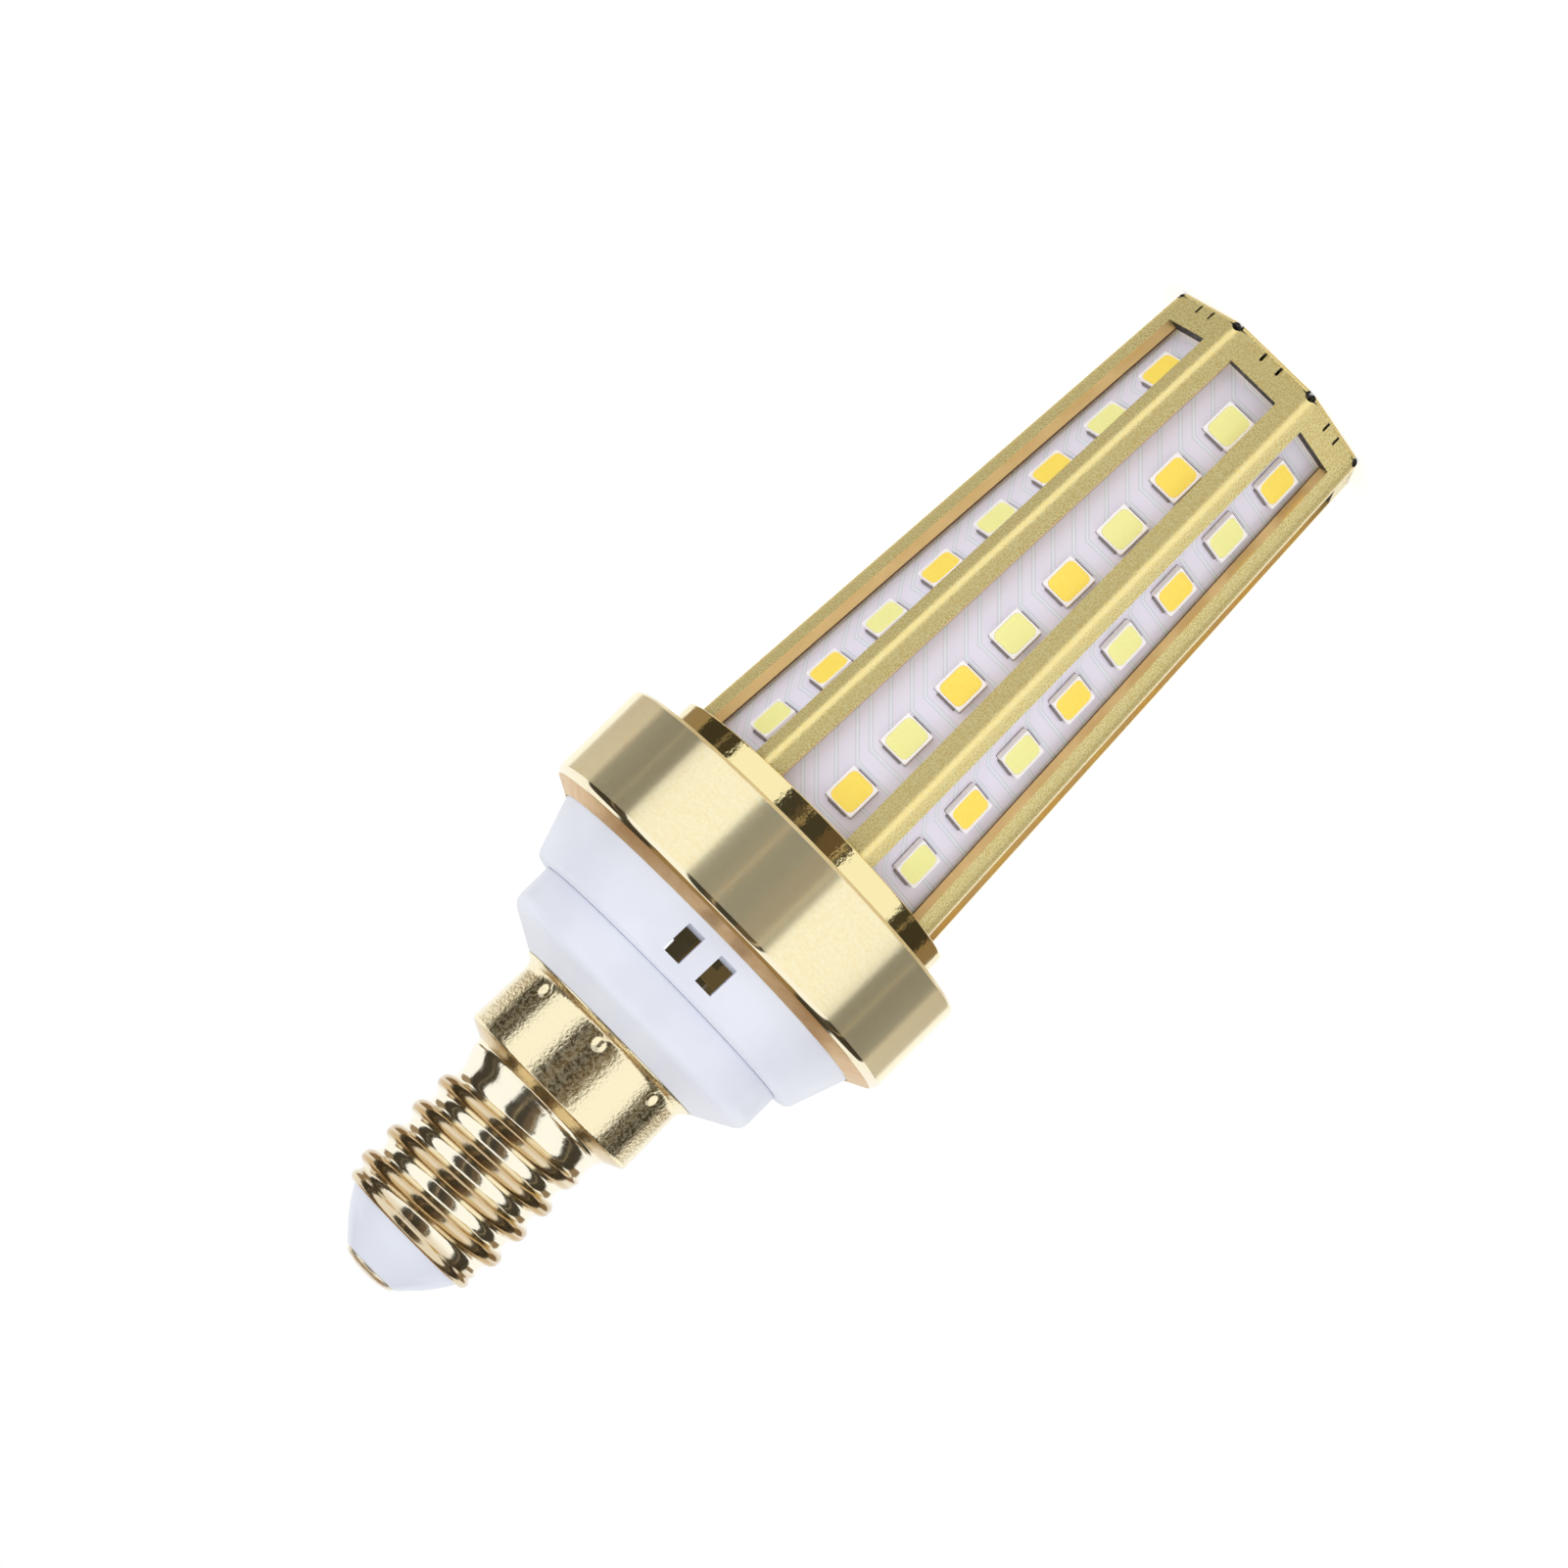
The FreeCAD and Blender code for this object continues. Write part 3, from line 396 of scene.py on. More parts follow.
collar_gold, tree, shader = new_finish("collar_gold_finish", paint(250, 235, 178), 1.0, 0.07)
waves = noise_on_object(tree, 260)
specks = noise_on_object(tree, 2600, 3.0)
dents = calculate(tree, "ADD", calculate(tree, "MULTIPLY", waves, 5.0), specks)
relief(tree, shader, dents, 0.5, 0.028)

cap_gold, tree, shader = new_finish("cap_gold_finish", paint(253, 241, 203), 1.0, 0.07)
painted_reflection_share, upward = own_map_values(tree)
tone = tree.nodes.new("ShaderNodeMix")
tone.data_type = "RGBA"
mix_share, plain_tone, deep_tone, mixed_tone = (
    tone.inputs[0], tone.inputs[6], tone.inputs[7], tone.outputs[2]
)
two_colours(tree, upward, paint(253, 241, 203), paint(255, 249, 228), plain_tone, 0.4, 0.62)
# Painted reflection: a deeper gold on the thread's flanks, the shoulder and the lip, where they
# mirror darker surroundings.
deep_tone.default_value = paint(192, 151, 74)
tree.links.new(painted_reflection_share, mix_share)
tree.links.new(mixed_tone, shader.inputs["Base Color"])
wear = noise_on_object(tree, 3600, 4.0)
rough = calculate(tree, "ADD", calculate(tree, "MULTIPLY", wear, 0.2), 0.02)
rough = calculate(tree, "ADD", rough, calculate(tree, "MULTIPLY", painted_reflection_share, 0.07))
tree.links.new(rough, shader.inputs["Roughness"])
bump = relief(tree, shader, wear, 0.6, 0.028)
between(tree, upward, 1.0, 0.25, bump.inputs["Strength"], 0.3, 0.75)
film = tree.nodes.new("ShaderNodeMath")
film.operation = "MULTIPLY"
between(tree, wear, 0.0, 0.14, film.inputs[0], 0.42, 0.58)
between(tree, upward, 1.0, 0.0, film.inputs[1], 0.3, 0.5)
bare = calculate(tree, "SUBTRACT", 1.0, film.outputs["Value"])
tree.links.new(bare, shader.inputs["Metallic"])
print("gold finishes made")

# %% [markdown]
# The white shells are moulded plastic with a faint cold tint and hardly any
# texture. The light board has a matt white coat over its copper: the tracks lie
# under it as fine pale lines, level between the packages and slanting at one side.
# The board's own map gives millimetres across and along each face. The distance to
# the nearest track's middle line picks the tone: track, its shaded edge, or coat.

# %% Plastic and board finishes
shell_white, tree, shader = new_finish("shell_white_finish", paint(232, 235, 246), 0.0, 0.32)
cloud = noise_on_object(tree, 160, 3.0)
two_colours(
    tree, cloud, paint(229, 232, 243), paint(235, 238, 249), shader.inputs["Base Color"]
)
relief(tree, shader, noise_on_object(tree, 1500), 0.05, 0.02)

insulator_white, tree, shader = new_finish(
    "insulator_white_finish", paint(227, 231, 243), 0.0, 0.25
)
relief(tree, shader, noise_on_object(tree, 1200), 0.05, 0.02)

ROW_PITCH, ROW_START = 6.02, 6.55
TRACK_LEVELS, SLANT_START = (0.26, 2.45, 3.94), 1.4

board_white, tree, shader = new_finish("board_white_finish", paint(243, 239, 255), 0.0, 0.5)
across, along = own_map_values(tree)
beside = calculate(tree, "MAXIMUM", calculate(tree, "SUBTRACT", across, SLANT_START), 0.0)
level = calculate(tree, "SUBTRACT", calculate(tree, "ADD", along, beside), ROW_START)
narrow = calculate(tree, "MULTIPLY", calculate(tree, "GREATER_THAN", beside, 0.001), 0.29)
narrow = calculate(tree, "SUBTRACT", 1.0, narrow)
distance = None
for track_level in TRACK_LEVELS:
    rows = calculate(tree, "DIVIDE", calculate(tree, "SUBTRACT", level, track_level), ROW_PITCH)
    off = calculate(tree, "SUBTRACT", rows, calculate(tree, "ROUND", rows))
    off = calculate(tree, "ABSOLUTE", calculate(tree, "MULTIPLY", off, ROW_PITCH))
    distance = off if distance is None else calculate(tree, "MINIMUM", distance, off)
distance = calculate(tree, "MULTIPLY", distance, narrow)
bands = tree.nodes.new("ShaderNodeValToRGB")
tree.links.new(calculate(tree, "DIVIDE", distance, 0.4), bands.inputs["Fac"])
stops = ((0.0, (240, 246, 255)), (0.16, (240, 246, 255)), (0.28, (224, 224, 236)),
         (0.4, (224, 224, 236)), (0.52, (243, 239, 255)))
for share, shade in stops[1:-1]:
    bands.color_ramp.elements.new(share).color = paint(*shade)
bands.color_ramp.elements[0].color = paint(*stops[0][1])
bands.color_ramp.elements[-1].position = stops[-1][0]
bands.color_ramp.elements[-1].color = paint(*stops[-1][1])
tree.links.new(bands.outputs["Color"], shader.inputs["Base Color"])
track = tree.nodes.new("ShaderNodeMapRange")
track.interpolation_type = "SMOOTHSTEP"
track.inputs["From Min"].default_value = 0.08
track.inputs["From Max"].default_value = 0.2
tree.links.new(distance, track.inputs["Value"])
relief(tree, shader, track.outputs["Result"], 0.2, 0.02)
print("white finishes made")

# %% [markdown]
# The packages: a glossy white body and a soft yellow filling. The filling is a
# little cloudy. Phosphor turns part of the blue in any light to yellow, so it looks
# brighter than paint would; this is painted in as a trace of glow, and the white
# bodies get a fainter painted glow too.

# %% Package finishes
package_white, tree, shader = new_finish("package_white_finish", paint(255, 252, 253), 0.0, 0.3)
# Painted glow on the white bodies.
painted_glow(shader, (1, 0.97, 0.98, 1), 0.06)
relief(tree, shader, noise_on_object(tree, 2500), 0.06, 0.01)


def filling(name, light_tone, deep_tone):
    """A cloudy yellow filling that mixes two tones, with a painted glow."""
    material, tree, shader = new_finish(name, light_tone, 0.0, 0.35)
    grains = noise_on_object(tree, 5200, 3.0)
    two_colours(tree, grains, deep_tone, light_tone, shader.inputs["Base Color"])
    relief(tree, shader, grains, 0.08, 0.01)
    painted_glow(shader, light_tone, 0.12)
    return material


phosphor_warm = filling("phosphor_warm_finish", paint(255, 229, 103), paint(254, 222, 85))
phosphor_cold = filling("phosphor_cold_finish", paint(245, 242, 164), paint(240, 237, 150))
solder_and_shade, tree, shader = new_finish("solder_and_shade_finish", paint(150, 142, 142), 0.4, 0.45)
relief(tree, shader, noise_on_object(tree, 4000), 0.3, 0.02)
print("package finishes made")

# %% [markdown]
# The screw cap is drawn from thin brass and then rolled: a flared rim, a plain
# skirt with eight punched stake marks, a shoulder, and a rounded right-handed
# thread that fades in below the neck and runs out at the turned-in lip. One
# formula gives the radius at any height and turn, so the whole cap is one grid.

# %% Screw cap
CREST, THREAD_PITCH, CREST_ARC, ROOT_ARC = 6.92, 2.822, 0.76, 0.884
THREAD_DEPTH, FIRST_ROOT, FADE_IN, LAST_WAVE = 0.8, 85.589, (-260, -100), 2.6
LIP_RADIUS, LIP_HEIGHT, LIP_REACH, LIP_CURVE, LIP_BLEND = 6.42, 97.05, 0.7, 0.85, 14
NECK_RADIUS = 6.87
MARK_HEIGHT, MARK_TURN, MARK_RADIUS, MARK_DEPTH = 76.35, -6.8, 0.62, 0.3
_, CAP_RIM, SLEEVE_END = measured("screw_cap")


def smooth(value, low, high):
    """0 below low, 1 above high, and a soft step between."""
    share = np.clip((value - low) / (high - low), 0, 1)
    return share * share * (3 - 2 * share)


def groove(turn, height, number):
    """Depth and painted tone of one turn of the rolled groove. Arcs meet as root and crest. The
    turns counted from the first one fade it in, and where there is no ridge before it
    its side towards the head is one long soft wave. The tone is a painted reflection, a
    deeper gold, strongest on the flanks."""
    off = height - FIRST_ROOT - THREAD_PITCH * (turn / 360 + number)
    began = smooth(turn + 360 * number, *FADE_IN)
    ridge_before = smooth(turn + 360 * number - 360, *FADE_IN)
    off_root = np.minimum(np.abs(off), THREAD_PITCH / 2)
    turned_in = THREAD_PITCH / 2 / (CREST_ARC + ROOT_ARC)
    near_root = np.minimum(off_root, ROOT_ARC * turned_in)
    near_crest = np.minimum(THREAD_PITCH / 2 - off_root, CREST_ARC * turned_in)
    depth = THREAD_DEPTH - ROOT_ARC + np.sqrt(ROOT_ARC**2 - near_root**2)
    crest_drop = CREST_ARC - np.sqrt(CREST_ARC**2 - near_crest**2)
    depth = np.where(off_root < ROOT_ARC * turned_in, depth, crest_drop)
    swing = THREAD_DEPTH / 2
    wave = swing + swing * np.cos(np.pi * np.minimum(np.abs(off) / LAST_WAVE, 1))
    depth = np.where(off < 0, ridge_before * depth + (1 - ridge_before) * wave, depth)
    # Painted reflection tone, deeper gold, on the flanks.
    tone = np.interp(
        off, [-1.42, -1.41, -1.2, -0.95, -0.7, 0.62, 0.8, 1.1, 1.3, 1.41, 1.42],
        [0, 0.4, 0.85, 0.8, 0, 0, 0.62, 0.7, 0.5, 0.4, 0],
    )
    return began * depth, began * tone * np.where(off < 0, ridge_before, 1)


def thread_radius(turn, height):
    """Radius and painted reflection tone. The radius is the crest less the deeper of the two turns
    of the groove that may reach a place. Near the end a plain round lip takes over, by a soft
    maximum: the logarithm of the sum of both exponentials."""
    count = np.floor((height - FIRST_ROOT) / THREAD_PITCH - turn / 360)
    first, second = groove(turn, height, count), groove(turn, height, count + 1)
    radius = CREST - np.maximum(first[0], second[0])
    tone = np.maximum(first[1], second[1])
    lip = LIP_RADIUS - np.minimum(np.abs(height - LIP_HEIGHT), LIP_REACH) ** 2 / LIP_CURVE
    ending = smooth(height, 95.75, 96.55)
    radius = radius * (1 - ending) + np.minimum(radius, 6.1) * ending
    tone = tone * (1 - ending) + 0.45 * ending
    return np.logaddexp(radius * LIP_BLEND, lip * LIP_BLEND) / LIP_BLEND, tone


def soft_corner(first, corner, last):
    """Seven points of a quadratic curve between two places, drawn towards a corner."""
    mix = np.linspace(0, 1, 7)[:, None]
    return (
        (1 - mix) ** 2 * np.array(first) + 2 * mix * (1 - mix) * np.array(corner)
        + mix**2 * np.array(last)
    )


def plain_section():
    """Radius and height of the part without thread: flared rim, skirt, shoulder, neck."""
    rim = np.array([
        (8.58, CAP_RIM), (9.1, CAP_RIM), (9.15, 74.93), (9.15, 75.02), (9.08, 75.08),
        (8.86, 75.2), (8.68, 75.36), (8.54, 75.54), (8.45, 75.75),
    ])
    skirt = np.stack([np.linspace(8.43, 8.545, 48), np.linspace(75.9, 81.45, 48)], axis=1)
    shoulder = soft_corner((8.55, 81.5), (8.55, 81.74), (8.3, 81.86))
    neck = soft_corner((7.15, 82.42), (6.88, 82.56), (NECK_RADIUS, 82.85))
    return np.concatenate([rim, skirt, shoulder, neck])


def stake_marks(turn, height, radius):
    """Depth of eight shallow bowls round the skirt, from the distance to the nearest."""
    apart = (turn - MARK_TURN + 22.5) % 45 - 22.5
    reach = np.hypot(np.radians(apart) * radius, (height - MARK_HEIGHT) * 0.86) / MARK_RADIUS
    bowl = np.where(reach < 1, (1 - np.minimum(reach, 1) ** 2) ** 1.3, 0)
    return MARK_DEPTH * bowl


def cap_points(columns=288):
    """Skirt and sleeve outside, then back up the inside; and the cap's own map, which is
    the strength of the painted reflection tone, and the height over 80 mm as a share of 5 mm."""
    turn = np.linspace(-180, 180, columns, endpoint=False)[None]
    plain = plain_section()
    sleeve_rows = np.linspace(82.9, SLEEVE_END - 0.06, 122)
    height = np.concatenate([plain[:, 1], sleeve_rows])[:, None] + 0 * turn
    sleeve, tone = thread_radius(turn + 0 * height, height)
    neck = NECK_RADIUS + (sleeve - NECK_RADIUS) * smooth(height, 82.6, 83.2)
    radius = np.concatenate([plain[:, :1] + 0 * turn, neck[len(plain):]])
    radius = radius - stake_marks(turn, height, radius)
    inside = np.array([
        (6.1, SLEEVE_END), (5.82, SLEEVE_END), (5.82, 82.9), (6.57, 82.5), (8.24, 81.6),
        (8.11, 76.0), (8.58, 74.95),
    ])
    # Painted reflection tone on the shoulder too.
    shoulder_painted_reflection = np.interp(plain[:, 1:], [81.7, 81.85, 82.4, 82.55], [0, 0.55, 0.55, 0])
    tone[:len(plain)] = shoulder_painted_reflection + 0 * turn
    tone = np.concatenate([tone, 0 * inside[:, :1] + 0 * turn])
    radius = np.concatenate([radius, inside[:, :1] + 0 * turn])
    height = np.concatenate([height, inside[:, 1:] + 0 * turn])
    points = round_axis(radius, np.radians(turn), height)
    own_map = np.stack([tone, (height - 80) / 5], axis=-1)
    return np.concatenate([points, points[:1]]), np.concatenate([own_map, own_map[:1]])


points, own_map = cap_points()
screw_cap = make_piece(
    "cap_rolled", points, grid_faces(*points.shape[:2]), [cap_gold], 50, uv=own_map
)
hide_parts("screw_cap")

# %% [markdown]
# Insulator and contact close the cap: a blunt white cone, and a domed rivet head.

# %% Insulator and contact
wide, low, tip = measured("cap_insulator")
turned_piece(
    "insulator_cone",
    [(4.83, low), (wide, low), (wide, SLEEVE_END), (4.6, 99.35), (2.7, tip),
     (1.03, tip), (1.03, 99.46), (2.23, 99.46), (4.83, SLEEVE_END)],
    [0.1, 0.1, 0.2, 1.6, 0.25, 0.05, 0.05, 0.1, 0.2],
    [insulator_white], "cap_insulator", 128,
)
contact_metal, tree, shader = new_finish("contact_metal_finish", paint(238, 220, 188), 0.8, 0.26)
wear = noise_on_object(tree, 1800, 4.0)
two_colours(
    tree, wear, paint(236, 220, 190), paint(253, 247, 230), shader.inputs["Base Color"]
)
relief(tree, shader, wear, 0.35, 0.05)
wide, low, high = measured("center_contact")
rise = np.linspace(0, np.pi / 2, 9)[:-1]
dome = [(wide * math.cos(a), 101.42 + 0.64 * math.sin(a)) for a in rise]
turned_piece(
    "contact_rivet",
    [(0.0, low), (1.0, low), (1.0, tip), (wide, tip), *dome, (0.0, high)],
    [0.0, 0.05, 0.05, 0.06, *[0.0] * len(dome), 0.0],
    [contact_metal], "center_contact", 96,
)

# %% [markdown]
# The lower cup and the upper shell are two mouldings. The cup is turned. The shell
# has two pairs of vent slots, so its grid has columns that follow the slots' edges:
# a slot is cut square, so its edge is where the sine of the turn, times the radius,
# equals its distance from the pair's middle plane. The slots run from the fourth to
# the fifth row of the section.

# %% White cup and shell
SHELL_RADIUS, SHELL_START, SHELL_END = measured("housing_shell")
wide, low, high = measured("housing_cup")
turned_piece(
    "cup_moulded",
    [(10.85, low), (12.25, low), (12.25, SHELL_END), (wide, SHELL_END), (wide, 72.84),
     (9.18, CAP_RIM), (8.05, CAP_RIM), (8.05, high), (6.9, high), (6.9, 74.2), (10.85, 72.14)],
    [0.15, 0.15, 0.1, 0.18, 0.8, 0.2, 0.1, 0.1, 0.1, 0.3, 0.8],
    [shell_white], "housing_cup",
)

SLOT_TURN, SLOT_PITCH, SLOT_WIDTH = 9.5, 3.5, 1.72


def shell_points():
    """Outer and inner sheet of the upper shell, as rows of height and columns of turn."""
    outer = np.array([
        (SHELL_RADIUS, SHELL_START), (SHELL_RADIUS, 64.05), (15.93, 64.12), (15.63, 65.0),
        (14.66, 67.8), (14.45, 68.4), (14.4, 68.57), (14.31, 68.76), (14.17, 68.94),
        (13.99, 69.05), (13.75, 69.12), (13.56, SHELL_END), (12.35, SHELL_END),
    ])
    inner = np.array([
        (14.45, SHELL_START), (14.45, 63.9), (14.4, 64.1), (13.87, 65.3), (12.76, 67.8),
        (12.72, 67.83), (12.68, 67.86), (12.63, 67.88), (12.58, 67.9), (12.52, 67.92),
        (12.46, 67.93), (12.4, 67.94), (12.35, 67.94),
    ])
    offset = np.array([-1, -1, 1, 1]) * SLOT_PITCH / 2 + np.array([-1, 1, -1, 1]) * SLOT_WIDTH / 2
    sheets = []
    for section in (outer, inner):
        radius = section[:, :1]
        edges = np.degrees(np.arcsin(offset / radius))
        spread = np.linspace(0, 1, 25)[1:-1]
        rest = edges[:, 3:] + (180 + edges[:, :1] - edges[:, 3:]) * spread
        between_edges = (edges[:, :-1] + edges[:, 1:]) / 2
        half = np.concatenate([edges, between_edges], axis=1)[:, [0, 4, 1, 5, 2, 6, 3]]
        half = np.concatenate([half, rest], axis=1)
        angle = np.radians(np.concatenate([half, half + 180], axis=1) - 90 - SLOT_TURN)
        sheets.append(round_axis(radius, angle, section[:, 1:]))
    return sheets


outer, inner = shell_points()
keep = np.ones((outer.shape[0] - 1, outer.shape[1]), dtype=bool)
half = outer.shape[1] // 2
for first in (0, 4, half, half + 4):
    keep[3, first:first + 2] = False
faces = grid_faces(*outer.shape[:2], keep=keep)
both, faces, _ = thick_sheet(outer, inner, faces)
shell = make_piece("shell_moulded", both, faces, [shell_white], 30)
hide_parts("housing_shell")
break_edges(shell, 0.08)

# %% [markdown]
# The trim ring is turned from aluminium. A narrow polished chamfer and a wide
# bevel lead in to the shell, and a small bevel breaks the edge at the collar. The
# collar is a thin plated cup that the frame's foot stands in.

# %% Trim ring and collar
_, RING_START, RING_END = measured("trim_ring")
COLLAR_RADIUS, COLLAR_START, COLLAR_END = measured("collar_base")
RING_COLUMNS, CORNER_ROWS = 288, 7
CHAMFER_ROW, BEVEL_ROW, BEVEL_END = 3 * CORNER_ROWS + 2, 5 * CORNER_ROWS + 3, 6 * CORNER_ROWS + 4

section_row = np.arange(9 * CORNER_ROWS).repeat(RING_COLUMNS)
kinds = np.zeros(len(section_row), dtype=np.int32)
kinds[(section_row >= CHAMFER_ROW) & (section_row < BEVEL_ROW)] = 1
kinds[(section_row >= BEVEL_ROW) & (section_row < BEVEL_END)] = 2
turned_piece(
    "ring_turned",
    [(14.46, RING_START), (17.8, RING_START), (18.094, 54.4), (18.094, 62.6), (18.02, 62.9),
     (17.72, 63.24), (16.05, RING_END), (16.05, 55.3), (14.46, 55.3)],
    [0.05, 0.06, 0.06, 0.1, 0.16, 0.05, 0.05, 0.05, 0.05],
    [ring_gold, ring_chamfer, ring_bevel], "trim_ring", RING_COLUMNS, kinds,
)
turned_piece(
    "collar_plated",
    [(3.0, LENGTH), (13.886, LENGTH), (13.886, COLLAR_START), (14.36, COLLAR_START),
     (14.36, 55.3), (COLLAR_RADIUS, 55.3), (COLLAR_RADIUS, COLLAR_END), (13.0, COLLAR_END),
     (13.0, 55.3), (3.0, 55.3)],
    [0.1, 0.05, 0.08, 0.16, 0.05, 0.05, 0.05, 0.05, 0.05, 0.1],
    [collar_gold], "collar_base", RING_COLUMNS,
)

# %% [markdown]
# The frame is one sheet, folded eight times. It is worked out as an outer and an
# inner grid. A column keeps its distance from the fold it belongs to, so the ribs
# stay one width while the windows narrow towards the head. At a fold the column
# runs round a small arc. The rows below the head band bend each side's tab over.
# The window takes rows 2 to 11, between its edges in columns 4 and 9. The slits in
# the head band take row 13, in columns 5 and 7.

# %% Folded window frame
HEAD_APOTHEM, SHEET = 9.91, 1.2
TAN, FOLD, RIB, RIB_MIDDLE = math.tan(math.radians(22.5)), 1.4, 1.7, 1.14
SLIT_OUTSIDE, SLIT_INSIDE, SIDE_COLUMNS = 0.975, 0.725, 15
HEAD_BEND, TAB_DEPTH, MITRE, HEAD_CUTS = 0.35, 3.6, 0.19, 2.8
SLANT = 1.0015


def apothem(height):
    """Distance in mm from the axis to a side's outer face; it grows evenly with height."""
    return HEAD_APOTHEM + (FOOT_APOTHEM - HEAD_APOTHEM) * height / LENGTH


def fold_columns(radius, inset):
    """Each column of one side as x = slope * apothem + shift, at a depth under the side."""
    arc = np.radians(np.array([-15.0, -7.5]))
    half = radius * TAN
    left = [(-TAN, half + radius * math.sin(a), radius * (1 - math.cos(a))) for a in arc]
    edge = half - inset * TAN if radius < inset else half
    flats = [
        (-TAN, FOLD * TAN), (-TAN, RIB_MIDDLE), (-TAN, RIB), (0, -SLIT_OUTSIDE),
        (0, -SLIT_INSIDE), (0, SLIT_INSIDE), (0, SLIT_OUTSIDE), (TAN, -RIB),
        (TAN, -RIB_MIDDLE), (TAN, -FOLD * TAN),
    ]
    middle = [(slope, shift, 0.0) for slope, shift in flats]
    arc = np.radians(np.array([7.5, 15.0, 22.5]))
    right = [(TAN, -half + radius * math.sin(a), radius * (1 - math.cos(a))) for a in arc]
    return np.array(left + middle + right)


def on_side(face, out, x, height):
    """Points on each of the given sides: out from the axis, across, and up."""
    angle = face * np.pi / 4
    return np.stack(
        [out * np.sin(angle) + x * np.cos(angle), -out * np.cos(angle) + x * np.sin(angle),
         height + 0 * x * face], axis=-1
    )


def side_points(columns, inset, rows):
    """Points of all eight sides: rows of height, columns once round the frame. An inset
    square to a slanting side is SLANT times as long on the level."""
    slope, shift, depth = columns.T
    reach = apothem(rows) - inset * SLANT
    x = slope * np.where(depth > 0, reach, apothem(rows)) + shift
    face = np.arange(8)[None, :, None]
    points = on_side(face, (reach - depth)[:, None], x[:, None], rows[:, None])
    return points.reshape(len(rows), -1, 3)


def tab_points(inset_depth, side):
    """Rows that bend a side over the head and run in as its tab; side 1 is the inner face."""
    bend = np.radians(np.linspace(0, 90, 7))
    depth = np.concatenate([HEAD_BEND * (1 - np.cos(bend)), [2.2, TAB_DEPTH]])
    height = np.concatenate([HEAD_BEND * (1 - np.sin(bend)), [0.0, 0.0]])
    start = apothem(HEAD_BEND)
    half = start * TAN - FOLD * TAN
    straight = (start - depth) * TAN - MITRE
    blend = np.clip(depth / HEAD_BEND, 0, 1)
    edge = np.where(depth <= HEAD_BEND, half + blend * (straight[6] - half), straight)
    share = fold_columns(FOLD, 0)[2:12]
    x = (share[:, 0] * start + share[:, 1]) / half
    x = edge[:, None] * x[None]
    if side:
        height = np.full_like(height, SHEET)
        depth = np.maximum(depth, SHEET)
    return on_side(np.arange(8)[:, None, None], (start - depth)[:, None], x, height[:, None])


def frame_sheets():
    """Outer and inner points of walls and tabs, and the faces left when windows are cut."""
    rows = np.array(
        [LENGTH, 53.2, 52.1, 46, 40, 34, 28, 22, 16, 10, 6, 2.76, 2.1, 1.15, HEAD_BEND]
    )
    wall_out = side_points(fold_columns(FOLD, 0), 0, rows[:, None])
    wall_in = side_points(fold_columns(FOLD - SHEET, SHEET), SHEET, rows[:, None])
    lift_at_folds = np.tile([0.36, 0.27, 0.12, *[0] * 8, 0.12, 0.27, 0.36, 0.4], 8)
    wall_out[-1, :, 2] += lift_at_folds
    wall_in[-1, :, 2] += lift_at_folds
    wall_in[-1, :, 2] = np.maximum(wall_in[-1, :, 2], SHEET)
    count = wall_out.shape[1]
    keep = np.ones((len(rows) - 1, count), dtype=bool)
    column = np.arange(count) % SIDE_COLUMNS
    keep[2:11] &= ~((column >= 4) & (column <= 8))[None]
    keep[13] &= ~((column == 5) | (column == 7))
    faces = grid_faces(len(rows), count, keep=keep)
    tab_out, tab_in = tab_points(FOLD, 0), tab_points(FOLD, 1)
    one = grid_faces(*tab_out.shape[1:3], around=False)
    step = tab_out.shape[1] * tab_out.shape[2]
    more = wall_out.size // 3 + (np.arange(8)[:, None, None] * step + one[None])
    outer = np.concatenate([wall_out.reshape(-1, 3), tab_out.reshape(-1, 3)])
    inner = np.concatenate([wall_in.reshape(-1, 3), tab_in.reshape(-1, 3)])
    return outer, inner, np.concatenate([faces, more.reshape(-1, 4)])


outer, inner, faces = frame_sheets()
both, faces, kinds = thick_sheet(outer, inner, faces)
middle = both[faces].mean(axis=1)
# Cut faces below the head band's top get the painted shade at the head.
kinds[(kinds > 0) & (middle[:, 2] < HEAD_CUTS)] = 3
window_frame = make_piece(
    "frame_folded", both, faces, [frame_gold, frame_cut, painted_gap_shadow, painted_cut_shade],
    32, kinds=kinds,
)
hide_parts("window_frame")
break_edges(window_frame, 0.07)

# %% [markdown]
# The light board is a second, plain eight-sided tube just inside the frame. Its
# map counts millimetres from the middle of each row of packages, so the tracks in
# its material find their place.

# %% Light board
ROW_SHIFT = np.where(np.arange(8) % 2 == 0, -1.078, -0.431)
BOARD_DEPTH, BOARD_THICK = SHEET + 0.43, 1.0
_, board_start, board_end = measured("led_board")
BOARD_ROWS = np.array([board_start, 15.0, 28.0, 41.0, board_end])
BOARD_SHAPE = (len(BOARD_ROWS), 16)


def board_points(gap):
    """Two columns a side, from corner to corner, at a distance under the frame's outside."""
    rows = BOARD_ROWS[:, None, None]
    face = np.arange(8)[None, :, None]
    reach = apothem(rows) - gap + 0 * face
    x = reach * TAN * np.array([-1.0, 1.0])
    points = on_side(face, reach, x, rows)
    uv = np.stack([x - ROW_SHIFT[None, :, None], rows + 0 * x], axis=-1)
    return points.reshape(*BOARD_SHAPE, 3), uv.reshape(*BOARD_SHAPE, 2)


